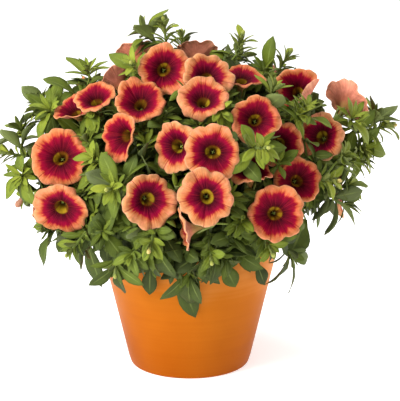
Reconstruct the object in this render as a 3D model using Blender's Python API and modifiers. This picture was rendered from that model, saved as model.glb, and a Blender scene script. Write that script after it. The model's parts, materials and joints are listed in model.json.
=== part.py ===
"""A calibrachoa in flower, growing in a glazed pot.

Metres, +Z up. The origin is the centre of the pot's flat foot, and the front of the plant faces -Y.
Leafy stems stand in holes in the soil. Each carries its forks, leaves, buds and the stalks of its
blooms, and each bloom's funnel sits loose in the small green cup at the end of its stalk.
"""

import math
import random
from collections import namedtuple

import bmesh
import bpy
from mathutils import Matrix, Vector
from mathutils.bvhtree import BVHTree

MM = 0.001
UP = Vector((0, 0, 1))
GAP = 0.3 * MM

# Pot
POT_HEIGHT = 94 * MM
POT_RIM_RADIUS = 61 * MM
POT_FOOT_RADIUS = 39 * MM
POT_WALL = 4 * MM
POT_FLOOR = 6 * MM
POT_EDGE = 1.6 * MM
POT_SIDES = 36
DRAIN_RADIUS = 4 * MM
DRAIN_RING = 19 * MM
DRAIN_COUNT = 3

# Soil
SOIL_EDGE_HEIGHT = 81 * MM
SOIL_CROWN_HEIGHT = 85 * MM
SOIL_SIDES = 20
HOLE_RADIUS = 2.3 * MM
HOLE_DEPTH = 10 * MM

# Dome that the plant fills
DOME_CENTRE = Vector((0, 0, 120 * MM))
DOME_REACH = 98 * MM
DOME_RISE = 88 * MM
DOME_FALL = 60 * MM

# Stems, forks and stalks
STEM_FOOT_RADIUS = 1.5 * MM
STEM_TIP_RADIUS = 0.8 * MM
FORK_RADIUS = 0.9 * MM
STALK_RADIUS = 0.7 * MM
STEM_BENDS = 5
FORK_BENDS = 3
STALK_BENDS = 3
CLEARANCE = 0.35 * MM

# Blooms
LOBES = 5
TUBE_LENGTH = 14 * MM
TUBE_FOOT_RADIUS = 0.9 * MM
TUBE_WAIST_RADIUS = 1.7 * MM
TUBE_WAIST = 9 * MM
THROAT_RADIUS = 3.9 * MM
LIMB_DEPTH = 3.5 * MM
LIMB_BEND = 0.52
PETAL_THICKNESS = 0.8 * MM
SINUS_DEPTH = 0.15
NOTCH_DEPTH = 0.05
CUP_LENGTH = 5 * MM
CUP_WALL = 0.8 * MM

# Buds: distance beyond the shoot's tip, and the radius there
BUD = ((5.5 * MM, 1.6 * MM), (8 * MM, 0.5 * MM))

# Leaves: each row is a share of the length and the share of the full width there
LEAF_THICKNESS = 1.0 * MM
LEAF_FOOT = 0.6 * MM
LEAF_FREE_FROM = 2.5 * MM
LEAF_ROWS = ((0.36, 0.88), (0.72, 0.86))
SMALL_LEAF_ROWS = ((0.58, 1.0),)
GOLDEN_ANGLE = math.radians(137.5)
SEED = 27

# Directions are in degrees: an azimuth of 0 faces the front and 90 the right, and an elevation of
# 90 is straight up. A share of 1 lies on the dome. Rings are distances from the pot's axis.
Shoot = namedtuple("Shoot", "azimuth elevation share")
Stem = namedtuple("Stem", "name ring azimuth tip forks")
Bloom = namedtuple("Bloom", "name azimuth elevation share width yaw pitch cup")
Leaf = namedtuple("Leaf", "root along face length half_width arch rows")
Piece = namedtuple("Piece", "owner tree centre reach")

STEMS = (
    Stem("stem_top_left", 6, -50, Shoot(-90, 82, 1.17),
         (Shoot(-112, 74, 1.13), Shoot(-38, 60, 1.10))),
    Stem("stem_top_right", 7, 100, Shoot(100, 72, 1.10), (Shoot(14, 43, 1.08),)),
    Stem("stem_right_upper", 15, 70, Shoot(98, 55, 1.12), (Shoot(54, 37, 1.06),)),
    Stem("stem_left_upper", 15, -85, Shoot(-90, 29, 1.12), (Shoot(-62, 42, 1.0),)),
    Stem("stem_left", 22, -78, Shoot(-84, 12, 1.22), (Shoot(-82, -3, 1.06),)),
    Stem("stem_front_left", 16, -38, Shoot(-27, 12, 1.07), (Shoot(-42, 22, 0.95),)),
    Stem("stem_low_left", 25, -50, Shoot(-46, -16, 1.10),
         (Shoot(-62, -16, 1.04), Shoot(-35, -38, 1.02))),
    Stem("stem_low_front", 25, -18, Shoot(-13, -12, 1.06), (Shoot(-22, -22, 1.02),)),
    Stem("stem_low_middle", 25, 10, Shoot(8, -20, 1.04), (Shoot(0, -42, 1.0),)),
    Stem("stem_front_right", 16, 20, Shoot(26, 20, 1.16), (Shoot(20, -2, 0.96),)),
    Stem("stem_low_right", 25, 40, Shoot(30, -18, 1.05), (Shoot(50, -34, 1.02),)),
    Stem("stem_right_lower", 21, 62, Shoot(56, 10, 1.10), (Shoot(72, 4, 1.08),)),
    Stem("stem_right", 20, 90, Shoot(90, 24, 1.36), (Shoot(86, 10, 1.14),)),
    Stem("stem_back_right", 18, 128, Shoot(128, 22, 1.12),
         (Shoot(118, 42, 1.05), Shoot(120, -12, 1.05))),
    Stem("stem_back", 20, 172, Shoot(168, 8, 1.12), (Shoot(158, -16, 1.03),)),
    Stem("stem_back_top", 9, 200, Shoot(186, 56, 1.10), (Shoot(150, 50, 1.05),)),
    Stem("stem_back_left", 19, -128, Shoot(-132, 12, 1.12),
         (Shoot(-130, 36, 1.05), Shoot(-150, -18, 1.04))),
    Stem("stem_low_back_left", 25, -102, Shoot(-108, -12, 1.08), (Shoot(-112, 24, 1.02),)),
)

BLOOMS = (
    Bloom("bloom_crown", -20, 64, 1.04, 35, 3, 15, 1),
    Bloom("bloom_crown_right", 14, 62, 0.90, 34, 12, 34, 1),
    Bloom("bloom_brow_right", 8, 50, 1.02, 34, 6, 52, 2),
    Bloom("bloom_brow_left", -28, 49, 0.97, 34, -6, 46, 1),
    Bloom("bloom_shade_left", -31, 33, 0.96, 33, -46, 4, 2),
    Bloom("bloom_centre_left", -6, 31, 0.95, 34, -26, 14, 1),
    Bloom("bloom_centre", 9, 27, 1.00, 37, 0, 12, 0),
    Bloom("bloom_left", -57, 19, 1.02, 38, -8, 22, 0),
    Bloom("bloom_left_low", -51, -1, 1.03, 39, -6, -18, 0),
    Bloom("bloom_front_left", -14, 9, 1.00, 37, 20, 8, 1),
    Bloom("bloom_front", 6, 11, 1.08, 36, 2, 14, -1),
    Bloom("bloom_right_brow", 31, 39, 1.02, 33, 2, 22, 1),
    Bloom("bloom_front_right", 31, 2, 1.03, 37, 6, 14, 0),
    Bloom("bloom_right", 65, 26, 1.02, 33, -16, 22, 2),
    Bloom("bloom_shade_right", 46, 29, 0.90, 31, 8, 10, 1),
    Bloom("bloom_right_top", 74, 45, 1.02, 34, -6, 26, 2),
    Bloom("bloom_right_low", 47, 12, 0.95, 32, 12, 18, 0),
    Bloom("bloom_top_edge", 46, 62, 0.98, 32, 14, 72, -1),
    Bloom("bloom_left_brow", -59, 46, 1.0, 29, -24, 56, 1),
    Bloom("bloom_left_shoulder", -70, 38, 1.0, 28, -44, 52, 1),
    Bloom("bloom_mid_right", 27, 20, 0.90, 32, 20, 74, 0),
    Bloom("bloom_right_side", 88, 31, 1.20, 34, 146, 30, 1),
    Bloom("bloom_left_high", -78, 58, 0.92, 29, -128, 34, 1),
    Bloom("bloom_front_low", -2, -5, 0.97, 29, -84, -12, 0),
    Bloom("bloom_top_back_left", -118, 67, 1.0, 31, -150, 40, 1),
    Bloom("bloom_top_back", 160, 80, 0.94, 29, 165, 42, 1),
    Bloom("bloom_side_right_low", 84, -4, 1.0, 35, 84, 4, 0),
    Bloom("bloom_side_left_low", -92, -8, 1.0, 35, -96, 2, 0),
    Bloom("bloom_back_right", 122, 8, 1.0, 36, 124, 12, 0),
    Bloom("bloom_back_right_high", 136, 36, 1.0, 35, 132, 30, 1),
    Bloom("bloom_back", 152, 14, 1.0, 36, 152, 12, 0),
    Bloom("bloom_back_high", 178, 48, 1.0, 35, 176, 42, 1),
    Bloom("bloom_back_middle", -172, 22, 1.0, 36, -172, 16, 0),
    Bloom("bloom_back_low", 178, -6, 1.0, 35, 176, 0, 0),
    Bloom("bloom_back_left", -148, 12, 1.0, 36, -148, 12, 0),
    Bloom("bloom_back_left_high", -140, 40, 1.0, 35, -138, 32, 1),
    Bloom("bloom_back_left_side", -116, 8, 1.0, 35, -118, 10, 0),
    Bloom("bloom_left_side_high", -106, 36, 1.0, 33, -104, 30, 1),
)

# Directions and places


def direction(azimuth, elevation):
    """Unit vector: azimuth 0 points to the front, -Y, and 90 to the right, +X."""
    a, e = math.radians(azimuth), math.radians(elevation)
    return Vector((math.sin(a) * math.cos(e), -math.cos(a) * math.cos(e), math.sin(e)))


def on_dome(azimuth, elevation, share):
    """The point on the dome, or at that share of the way out to it."""
    way = direction(azimuth, elevation)
    rise = DOME_RISE if elevation > 0 else DOME_FALL
    return DOME_CENTRE + Vector((way.x * DOME_REACH, way.y * DOME_REACH, way.z * rise)) * share


def pot_radius(height):
    """Outer radius of the pot at a height."""
    return POT_FOOT_RADIUS + (POT_RIM_RADIUS - POT_FOOT_RADIUS) * height / POT_HEIGHT


def soil_height(radius):
    """Height of the soil's low crown at a distance from the axis."""
    share = min(1.0, radius / (pot_radius(SOIL_EDGE_HEIGHT) - POT_WALL))
    return SOIL_CROWN_HEIGHT + (SOIL_EDGE_HEIGHT - SOIL_CROWN_HEIGHT) * share * share


def square_to(axis, wanted):
    """The part of wanted that is square to axis, as a unit vector."""
    flat = wanted - axis * axis.dot(wanted)
    return flat.normalized() if flat.length > 1e-6 else axis.orthogonal().normalized()


def curve_path(root, leave, tip, arrive, bends):
    """Points of a smooth path that leaves its root and arrives at its tip along the given vectors."""
    points = []
    for k in range(bends + 1):
        t = k / bends
        s = 1 - t
        near = root * (s * s * s) + (root + leave) * (3 * s * s * t)
        points.append(near + (tip - arrive) * (3 * s * t * t) + tip * (t * t * t))
    return points


def bends_gently(path, axis):
    """True if no bend of the path, nor its turn into the axis at its end, is sharper than 60 degrees."""
    runs = [(b - a).normalized() for a, b in zip(path, path[1:])] + [axis]
    return all(a.dot(b) > 0.5 for a, b in zip(runs, runs[1:]))


def along_path(path, share):
    """Point and direction at a share of the way along a path of even steps."""
    place = max(0.0, min(0.9999, share)) * (len(path) - 1)
    step = int(place)
    a, b = path[step], path[step + 1]
    return a.lerp(b, place - step), (b - a).normalized()


# Closed skins, each a list of points and a list of faces


def band(a, b):
    """Triangles between two rings of point numbers, of like count, or one with twice as many."""
    if len(a) > len(b):
        return [face[::-1] for face in band(b, a)]
    if len(a) == 1:
        return [(a[0], b[(k + 1) % len(b)], b[k]) for k in range(len(b))]
    faces = []
    for i in range(len(a)):
        j = (i + 1) % len(a)
        if len(b) == len(a):
            faces += [(a[i], b[j], b[i]), (a[i], a[j], b[j])]
        else:
            faces += [(a[i], b[2 * i + 1], b[2 * i]), (a[i], a[j], b[2 * i + 1])]
            faces.append((a[j], b[2 * j], b[2 * i + 1]))
    return faces


def loft(rings):
    """The closed skin through rings of points, whose first and last are single points."""
    points = [point for ring in rings for point in ring]
    starts = [sum(len(ring) for ring in rings[:k]) for k in range(len(rings))]
    numbers = [list(range(start, start + len(ring))) for start, ring in zip(starts, rings)]
    return points, [face for a, b in zip(numbers, numbers[1:]) for face in band(a, b)]


def level_ring(radius, height, count):
    """Points of a circle about +Z."""
    turns = [2 * math.pi * k / count for k in range(count)]
    return [Vector((radius * math.cos(t), radius * math.sin(t), height)) for t in turns]


def sleeve(path, radius):
    """A plain pipe around a path."""
    rings = [[path[0]]]
    x = UP
    for k, point in enumerate(path):
        run = (path[min(k + 1, len(path) - 1)] - path[max(k - 1, 0)]).normalized()
        x = square_to(run, x)
        y = run.cross(x)
        turns = [math.pi * n / 3 for n in range(6)]
        rings.append([point + (x * math.cos(t) + y * math.sin(t)) * radius for t in turns])
    rings.append([path[-1]])
    return loft(rings)


def blade(leaf, grow=0.0):
    """A leaf: an arched blade with a keel under its rib, sharp at its edges."""
    side = leaf.along.cross(leaf.face)
    rings = []
    for share, width in ((0.0, 0.0), *leaf.rows, (1.0, 0.0)):
        turn = leaf.arch * share
        spine = leaf.root + leaf.along * (leaf.length * math.sin(turn) / leaf.arch)
        spine -= leaf.face * (leaf.length * (1 - math.cos(turn)) / leaf.arch)
        if share == 1:
            rings.append([spine])
            break
        normal = leaf.face * math.cos(turn) + leaf.along * math.sin(turn)
        half = max(LEAF_FOOT, leaf.half_width * width) + grow
        keel = spine - normal * (LEAF_THICKNESS + grow)
        rings.append([spine + side * half + normal * grow, spine - side * half + normal * grow, keel])
    return loft([[leaf.root], *rings])


def rim_share(angle):
    """How far the edge reaches at an angle: drawn well in between lobes, and a little at each tip."""
    from_tip = math.degrees(abs((angle + math.pi / LOBES) % (2 * math.pi / LOBES) - math.pi / LOBES))
    sinus = math.exp(-(((from_tip - 36) / 9) ** 2))
    notch = math.exp(-((from_tip / 7) ** 2))
    return 1 - SINUS_DEPTH * sinus - NOTCH_DEPTH * notch


def bloom_frame(bloom):
    """Matrix of a bloom: its origin is the foot of the tube, and +Z runs up the tube."""
    axis = direction(bloom.yaw, bloom.pitch)
    foot = on_dome(bloom.azimuth, bloom.elevation, bloom.share) - axis * (TUBE_LENGTH + LIMB_DEPTH)
    x = square_to(axis, UP)
    y = axis.cross(x)
    spin = Matrix.Rotation(math.radians(bloom.azimuth * 3 + bloom.elevation), 4, "Z")
    return Matrix.Translation(foot) @ Matrix((x, y, axis)).transposed().to_4x4() @ spin


def corolla(bloom, grow=0.0):
    """A bloom's funnel: a narrow tube that opens through the throat into five joined, waved lobes."""
    radius = bloom.width * MM / 2 + grow
    rim = []
    for point in level_ring(radius, TUBE_LENGTH + LIMB_DEPTH + bloom.cup * MM, 4 * LOBES):
        angle = math.atan2(point.y, point.x)
        reach = rim_share(angle)
        wave = radius * 0.07 * math.cos(LOBES * angle)
        rim.append(Vector((point.x * reach, point.y * reach, point.z - wave)))
    bend = TUBE_LENGTH + LIMB_DEPTH * 0.75
    thick = PETAL_THICKNESS + grow
    points, faces = loft([
        [Vector((0, 0, -grow))],
        level_ring(TUBE_FOOT_RADIUS + grow, -grow, LOBES),
        level_ring(TUBE_WAIST_RADIUS + grow, TUBE_WAIST, LOBES),
        level_ring(THROAT_RADIUS + thick / 2, TUBE_LENGTH - thick, 2 * LOBES),
        level_ring(radius * LIMB_BEND, bend - thick, 2 * LOBES),
        rim,
        level_ring(radius * LIMB_BEND, bend, 2 * LOBES),
        level_ring(THROAT_RADIUS, TUBE_LENGTH, 2 * LOBES),
        [Vector((0, 0, TUBE_WAIST * 0.8))],
    ])
    frame = bloom_frame(bloom)
    return [frame @ point for point in points], faces


def cup_rings(bloom, grow=0.0):
    """Rings of the green cup that holds the foot of a bloom's tube. Its wall thins to a sharp mouth."""
    inner = TUBE_FOOT_RADIUS + GAP / math.cos(math.pi / LOBES)
    rings = [
        level_ring(inner + CUP_WALL + grow, -GAP, LOBES),
        level_ring(TUBE_WAIST_RADIUS + GAP + grow, CUP_LENGTH, LOBES),
        level_ring(inner, -GAP, LOBES),
        [Vector((0, 0, -GAP))],
    ]
    frame = bloom_frame(bloom)
    return [[frame @ point for point in ring] for ring in rings]


def cup(bloom, grow=0.0):
    """The cup by itself, closed below."""
    return loft([[bloom_frame(bloom) @ Vector((0, 0, -GAP - 2 * MM))], *cup_rings(bloom, grow)])


def stalk_skin(path, bloom):
    """A bloom's stalk, five-sided like the cup that it widens into."""
    cups = cup_rings(bloom)
    rings = [[path[0]]]
    middle = cups[-1][0]
    turns = [2 * math.pi * n / LOBES for n in range(LOBES)]
    for k in reversed(range(len(path))):
        run = (path[min(k + 1, len(path) - 1)] - path[max(k - 1, 0)]).normalized()
        spoke = square_to(run, (cups[0] if k == len(path) - 1 else rings[1])[0] - middle)
        spoke, across = spoke * STALK_RADIUS, run.cross(spoke) * STALK_RADIUS
        middle = path[k]
        rings.insert(1, [middle + spoke * math.cos(t) + across * math.sin(t) for t in turns])
    return loft([*rings, *cups])


def pot_skin():
    """The pot's outer side, its rim and the soil, as one closed skin."""
    rings = [[Vector((0, 0, 0))]]
    for height in (0, POT_HEIGHT / 2, POT_HEIGHT):
        rings.append(level_ring(pot_radius(height) + GAP, height, POT_SIDES))
    rings.append(level_ring(POT_RIM_RADIUS - POT_WALL - GAP, POT_HEIGHT, POT_SIDES))
    rings.append(level_ring(pot_radius(SOIL_EDGE_HEIGHT) - POT_WALL, SOIL_EDGE_HEIGHT, POT_SIDES))
    return loft([*rings, [Vector((0, 0, SOIL_CROWN_HEIGHT))]])


# How the plant grows


class Room:
    """The pieces placed so far. A new piece may touch only pieces of its own owner."""

    def __init__(self):
        self.pieces = []

    def measure(self, points):
        low = Vector([min(point[k] for point in points) for k in range(3)])
        high = Vector([max(point[k] for point in points) for k in range(3)])
        return (low + high) / 2, (high - low).length / 2

    def add(self, owner, shape):
        self.pieces.append(Piece(owner, BVHTree.FromPolygons(*shape), *self.measure(shape[0])))

    def clear(self, owner, shape):
        centre, reach = self.measure(shape[0])
        tree = BVHTree.FromPolygons(*shape)
        for piece in self.pieces:
            near = (piece.centre - centre).length < piece.reach + reach
            if near and piece.owner != owner and tree.overlap(piece.tree):
                return False
        return True


def place_blooms(room):
    """The blooms where they have room: one that would cross another moves a little further out."""
    placed = []
    for bloom in BLOOMS:
        for step in range(30):
            trial = bloom._replace(share=bloom.share + 0.012 * step)
            clear = room.clear(bloom.name, corolla(trial, CLEARANCE))
            if clear and room.clear("", cup(trial, CLEARANCE)):
                break
        room.add(bloom.name, corolla(trial))
        room.add("cup of " + bloom.name, cup(trial))
        placed.append(trial)
    return placed


def stem_path(stem, sway, turn, lift):
    """Points of a main stem: upright in its hole, then arching out to its tip."""
    foot = direction(stem.azimuth, 0) * (stem.ring * MM)
    foot.z = soil_height(foot.length)
    tip = on_dome(stem.tip.azimuth + turn, stem.tip.elevation + lift, stem.tip.share)
    rise = max(52 * MM, (tip.z - foot.z) * 0.7)
    leave = Vector((foot.x * 0.25, foot.y * 0.25, rise * 0.75))
    over = Vector((tip.x * (0.66 + sway), tip.y * (0.66 + sway), max(tip.z - 5 * MM, foot.z + rise)))
    if stem.tip.elevation > 45:
        over = Vector((tip.x * (0.7 + sway), tip.y * (0.7 + sway), foot.z + rise))
    return [foot - UP * (HOLE_DEPTH - GAP)] + curve_path(foot, leave, tip, tip - over, STEM_BENDS)


def grow_stems(room):
    """A path for each stem, turned or swayed from its own way where a bloom stands in it."""
    ways = [(sway, turn, lift) for turn in (0, 5, -5, 10, -10, 15, -15) for lift in (0, 6, -6, 12)
            for sway in (0, 0.12, -0.12, 0.24, -0.24)]
    paths = {}
    for stem in STEMS:
        for way in ways:
            path = stem_path(stem, *way)
            if room.clear(stem.name, sleeve(path[2:], STEM_FOOT_RADIUS + CLEARANCE)):
                break
        else:
            raise RuntimeError(f"{stem.name} has no room")
        room.add(stem.name, sleeve(path[1:], STEM_FOOT_RADIUS))
        paths[stem.name] = path
    return paths


def grow_stalks(room, blooms, stems):
    """A stalk for each bloom, from the nearest stem that reaches it past the other pieces."""
    stalks = []
    for bloom in blooms:
        frame = bloom_frame(bloom)
        axis = frame.col[2].to_3d()
        foot = frame @ Vector((0, 0, -GAP - 1.3 * MM))
        trials = []
        for name, path in stems.items():
            for share in (0.3, 0.4, 0.5, 0.6, 0.7, 0.8, 0.9, 0.97):
                root, run = along_path(path, share)
                trials.append(((foot - root).length, name, root, run))
        trials.sort(key=lambda trial: trial[0])
        others = Room()
        others.pieces = [piece for piece in room.pieces if piece.owner != "cup of " + bloom.name]
        for distance, name, root, run in trials:
            for bow in (0.4, 0.6, 0.25):
                leave = (run * 0.8 + (foot - root).normalized()).normalized() * (distance * bow)
                path = curve_path(root, leave, foot, axis * (distance * bow), STALK_BENDS)
                gentle = distance > 5 * MM and bends_gently(path, axis)
                if gentle and others.clear(name, sleeve(path, STALK_RADIUS + CLEARANCE)):
                    break
            else:
                continue
            break
        else:
            raise RuntimeError(f"no stalk reaches {bloom.name}")
        room.pieces = others.pieces
        room.add(name, sleeve(path, STALK_RADIUS))
        room.add(name, cup(bloom))
        stalks.append((name, path, bloom))
    return stalks


def grow_forks(room, stems):
    """Side shoots, each from its stem towards its own place on the dome."""
    forks = []
    for stem in STEMS:
        for shoot in stem.forks:
            trials = [(share, pull, turn) for pull in (1, 0.9, 0.8, 0.7) for turn in (0, 6, -6, 12, -12)
                      for share in (0.6, 0.45, 0.75, 0.88)]
            for share, pull, turn in trials:
                root, run = along_path(stems[stem.name], share)
                tip = on_dome(shoot.azimuth + turn, shoot.elevation, shoot.share)
                out = (tip - DOME_CENTRE).normalized()
                arrive = out * 0.5 - UP if shoot.elevation < -30 else out + UP * 0.4
                tip = root.lerp(tip, pull)
                bow = (tip - root).length * 0.4
                path = curve_path(root, run * bow, tip, arrive.normalized() * bow, FORK_BENDS)
                if room.clear(stem.name, sleeve(path, FORK_RADIUS + CLEARANCE)):
                    room.add(stem.name, sleeve(path, FORK_RADIUS))
                    forks.append((stem.name, path, shoot))
                    break
    return forks


# Turn, tilt and size changes that a leaf tries, in order, to find room
NUDGES = ((0, 0, 1), (20, 0, 1), (-20, 0, 1), (0, -14, 1), (0, 14, 1), (38, 0, 0.9), (-38, 0, 0.9),
          (0, -24, 0.8), (20, -14, 0.8), (-20, -14, 0.8), (0, 0, 0.7), (60, 0, 0.7), (-60, 0, 0.7))


def leaf_on(path, share, spin, opening, length, half_width, arch, rows):
    """A leaf on a shoot: spin is its turn about the shoot, and opening its angle away from it."""
    root, run = along_path(path, share)
    out = square_to(run, root - DOME_CENTRE + UP * 20 * MM)
    away = out * math.cos(spin) + run.cross(out) * math.sin(spin)
    along = (run * math.cos(opening) + away * math.sin(opening)).normalized()
    light = run * 0.6 + (root - DOME_CENTRE).normalized() * 0.6 + UP * 0.5
    return Leaf(root, along, square_to(along, light), length, half_width, arch, rows)


def free_part(leaf):
    """The leaf without its foot, which may not cross its own stem or the leaves beside it either."""
    foot = LEAF_FREE_FROM
    return leaf._replace(root=leaf.root + leaf.along * foot, length=leaf.length - foot)


def grow_leaves(room, shoots, draw):
    """Leaves in a spiral up each shoot, the last ones small and close. A leaf in another piece's way
    is turned, tilted or shortened, and left out where it still has no room."""
    leaves = []
    for owner, path, first, count, tip_count, tip_size in shoots:
        phase = draw.uniform(0, 2 * math.pi)
        for k in range(count + tip_count):
            if k < count:
                share = first + (0.92 - first) * k / max(1, count - 1)
                opening = math.radians(draw.uniform(58, 84))
                length = draw.uniform(20, 28) * (1.1 - 0.25 * share) * MM
                half_width = length * draw.uniform(0.18, 0.23)
            else:
                share = 0.95 + 0.045 * (k - count + 1) / tip_count
                opening = math.radians(draw.uniform(24, 50))
                length = draw.uniform(11, 15) * tip_size * MM
                half_width = length * draw.uniform(0.17, 0.20)
            arch = draw.uniform(0.25, 0.9)
            rows = LEAF_ROWS if length > 16 * MM else SMALL_LEAF_ROWS
            spin = phase + k * GOLDEN_ANGLE
            for turn, tilt, size in NUDGES:
                leaf = leaf_on(path, share, spin + math.radians(turn), opening + math.radians(tilt),
                               length * size, half_width * size, arch, rows)
                if room.clear(owner, blade(leaf, CLEARANCE)) and room.clear("", blade(free_part(leaf))):
                    room.add(owner, blade(leaf))
                    leaves.append((owner, leaf))
                    break
    return leaves


def grow_plant():
    """Where everything grows. Each later kind of piece keeps clear of the earlier ones."""
    room = Room()
    room.add("pot", pot_skin())
    blooms = place_blooms(room)
    stems = grow_stems(room)
    stalks = grow_stalks(room, blooms, stems)
    forks = grow_forks(room, stems)
    shoots = [(name, path, 0.45, 4, 3, 1.0) for name, path in stems.items()]
    for name, path, shoot in forks:
        shoots.append((name, path, 0.55, 1, 3, 1.9 if shoot.elevation < -30 else 1.0))
    leaves = grow_leaves(room, shoots, random.Random(SEED))
    return blooms, stems, stalks, forks, leaves


# Objects


def material(name, color, roughness):
    made = bpy.data.materials.new(name)
    made.use_nodes = True
    shader = made.node_tree.nodes["Principled BSDF"]
    shader.inputs["Base Color"].default_value = (*color, 1)
    shader.inputs["Roughness"].default_value = roughness
    shader.inputs["Metallic"].default_value = 0.0
    return made


def add_object(name, mesh, collection, look=None):
    made = bpy.data.objects.new(name, mesh)
    collection.objects.link(made)
    if look:
        mesh.materials.append(look)
    return made


def skin_object(name, shape, collection, look=None):
    mesh = bpy.data.meshes.new(name)
    mesh.from_pydata([tuple(point) for point in shape[0]], [], shape[1])
    return add_object(name, mesh, collection, look)


def turned(name, profile, steps, collection, look=None):
    """A solid of revolution from a profile that runs down its outer side."""
    mesh = bpy.data.meshes.new(name)
    points = [(radius, 0, height) for radius, height in profile]
    mesh.from_pydata(points, [(k, k + 1) for k in range(len(points) - 1)], [])
    made = add_object(name, mesh, collection, look)
    screw = made.modifiers.new("Turn", "SCREW")
    screw.steps = steps
    screw.render_steps = steps
    screw.use_merge_vertices = True
    screw.merge_threshold = 0.00001
    return made


def cylinder(name, radius, depth, sides, place, collection):
    mesh = bpy.data.meshes.new(name)
    work = bmesh.new()
    bmesh.ops.create_cone(work, cap_ends=True, segments=sides,
                          radius1=radius, radius2=radius, depth=depth)
    work.to_mesh(mesh)
    work.free()
    made = add_object(name, mesh, collection)
    made.location = place
    made.hide_render = True
    made.display_type = "WIRE"
    return made


def with_bud(path, radii):
    """A shoot's path and radii, lengthened by the closed flower bud at its tip."""
    run = (path[-1] - path[-2]).normalized()
    beyond = [path[-1] + run * along for along, radius in BUD]
    return path + beyond, radii + [radius for along, radius in BUD]


def tube_object(name, path, radii, collection):
    """A slim tube along a path, as a mesh whose caps are closed."""
    curve = bpy.data.curves.new(name, "CURVE")
    curve.dimensions = "3D"
    curve.bevel_depth = MM
    curve.bevel_resolution = 0
    curve.use_fill_caps = True
    spline = curve.splines.new("POLY")
    spline.points.add(len(path) - 1)
    for point, place, radius in zip(spline.points, path, radii):
        point.co = (*place, 1)
        point.radius = radius / MM
    guide = bpy.data.objects.new(name + "_guide", curve)
    collection.objects.link(guide)
    evaluated = guide.evaluated_get(bpy.context.evaluated_depsgraph_get())
    mesh = bpy.data.meshes.new_from_object(evaluated)
    made = add_object(name, mesh, collection)
    made.matrix_world = guide.matrix_world
    work = bmesh.new()
    work.from_mesh(mesh)
    bmesh.ops.remove_doubles(work, verts=work.verts, dist=0.01 * MM)
    work.to_mesh(mesh)
    work.free()
    bpy.data.objects.remove(guide)
    bpy.data.curves.remove(curve)
    return made


def cut(target, cutters):
    boolean = target.modifiers.new("Cut", "BOOLEAN")
    boolean.operation = "DIFFERENCE"
    boolean.operand_type = "COLLECTION"
    boolean.collection = cutters
    boolean.solver = "EXACT"


def tidy_join(mesh):
    """Keeps the largest body, which fills sealed hollows. True if its every edge joins two faces."""
    work = bmesh.new()
    work.from_mesh(mesh)
    bodies = []
    waiting = set(work.verts)
    while waiting:
        front = [waiting.pop()]
        body = []
        while front:
            vertex = front.pop()
            body.append(vertex)
            linked = {edge.other_vert(vertex) for edge in vertex.link_edges} & waiting
            waiting -= linked
            front += linked
        bodies.append(body)
    bodies.sort(key=len)
    for body in bodies[:-1]:
        bmesh.ops.delete(work, geom=body, context="VERTS")
    closed = all(edge.is_manifold for edge in work.edges)
    work.to_mesh(mesh)
    work.free()
    return closed


def join(base, pieces):
    """Joins a collection's objects to the base in one closed solid, and removes them."""
    boolean = base.modifiers.new("Join", "BOOLEAN")
    boolean.operation = "UNION"
    boolean.operand_type = "COLLECTION"
    boolean.collection = pieces
    for solver in ("EXACT", "MANIFOLD"):
        boolean.solver = solver
        evaluated = base.evaluated_get(bpy.context.evaluated_depsgraph_get())
        joined = bpy.data.meshes.new_from_object(evaluated)
        if tidy_join(joined):
            break
    base.modifiers.clear()
    base.data = joined
    for piece in list(pieces.objects):
        bpy.data.objects.remove(piece)
    bpy.data.collections.remove(pieces)


def new_collection(name):
    made = bpy.data.collections.new(name)
    bpy.context.scene.collection.children.link(made)
    return made


def corner(radius, height, size, start, steps=2):
    """A rounded corner of a profile, as a quarter turn about a centre, from the start angle down."""
    turns = [math.radians(start - 90 * k / steps) for k in range(steps + 1)]
    return [(radius + size * math.cos(t), height + size * math.sin(t)) for t in turns]


def build_pot(collection):
    """A tapered pot with a rounded rim and foot, and three drainage holes through its floor."""
    profile = [(POT_RIM_RADIUS - POT_WALL, POT_HEIGHT - POT_EDGE)]
    profile += corner(POT_RIM_RADIUS - POT_WALL + POT_EDGE, POT_HEIGHT - POT_EDGE, POT_EDGE, 180)[1:]
    profile += corner(POT_RIM_RADIUS - POT_EDGE, POT_HEIGHT - POT_EDGE, POT_EDGE, 90)
    profile += corner(POT_FOOT_RADIUS - POT_EDGE, POT_EDGE, POT_EDGE, 0)
    profile += [(0, 0)]
    profile += [(0, POT_FLOOR), (pot_radius(POT_FLOOR) - POT_WALL, POT_FLOOR)]
    profile += [(POT_RIM_RADIUS - POT_WALL, POT_HEIGHT - POT_EDGE)]
    glaze = material("orange_glaze", (0.60, 0.18, 0.03), 0.35)
    pot = turned("pot", profile, POT_SIDES, collection, glaze)
    drains = new_collection("pot_cutters")
    for k in range(DRAIN_COUNT):
        place = direction(60 + 360 * k / DRAIN_COUNT, 0) * DRAIN_RING + UP * (POT_FLOOR / 2)
        cylinder(f"drain_{k + 1}", DRAIN_RADIUS, POT_FLOOR * 2, 12, place, drains)
    cut(pot, drains)


def build_soil(stems, collection):
    """The soil that fills the pot, with a low crown and a hole for the foot of each stem."""
    edge = pot_radius(SOIL_EDGE_HEIGHT) - POT_WALL - GAP
    foot = pot_radius(POT_FLOOR) - POT_WALL - GAP
    profile = [(0, SOIL_CROWN_HEIGHT)]
    profile += [(edge * share, soil_height(edge * share)) for share in (0.35, 0.7, 1.0)]
    profile += [(foot, POT_FLOOR + GAP), (0, POT_FLOOR + GAP)]
    crumbs = material("potting_soil", (0.05, 0.03, 0.02), 0.95)
    soil = turned("soil", profile, SOIL_SIDES, collection, crumbs)
    holes = new_collection("soil_cutters")
    for name, path in stems.items():
        bottom = path[0] - UP * GAP
        cylinder("hole_for_" + name, HOLE_RADIUS, HOLE_DEPTH * 2, 6, bottom + UP * HOLE_DEPTH, holes)
    cut(soil, holes)


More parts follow.
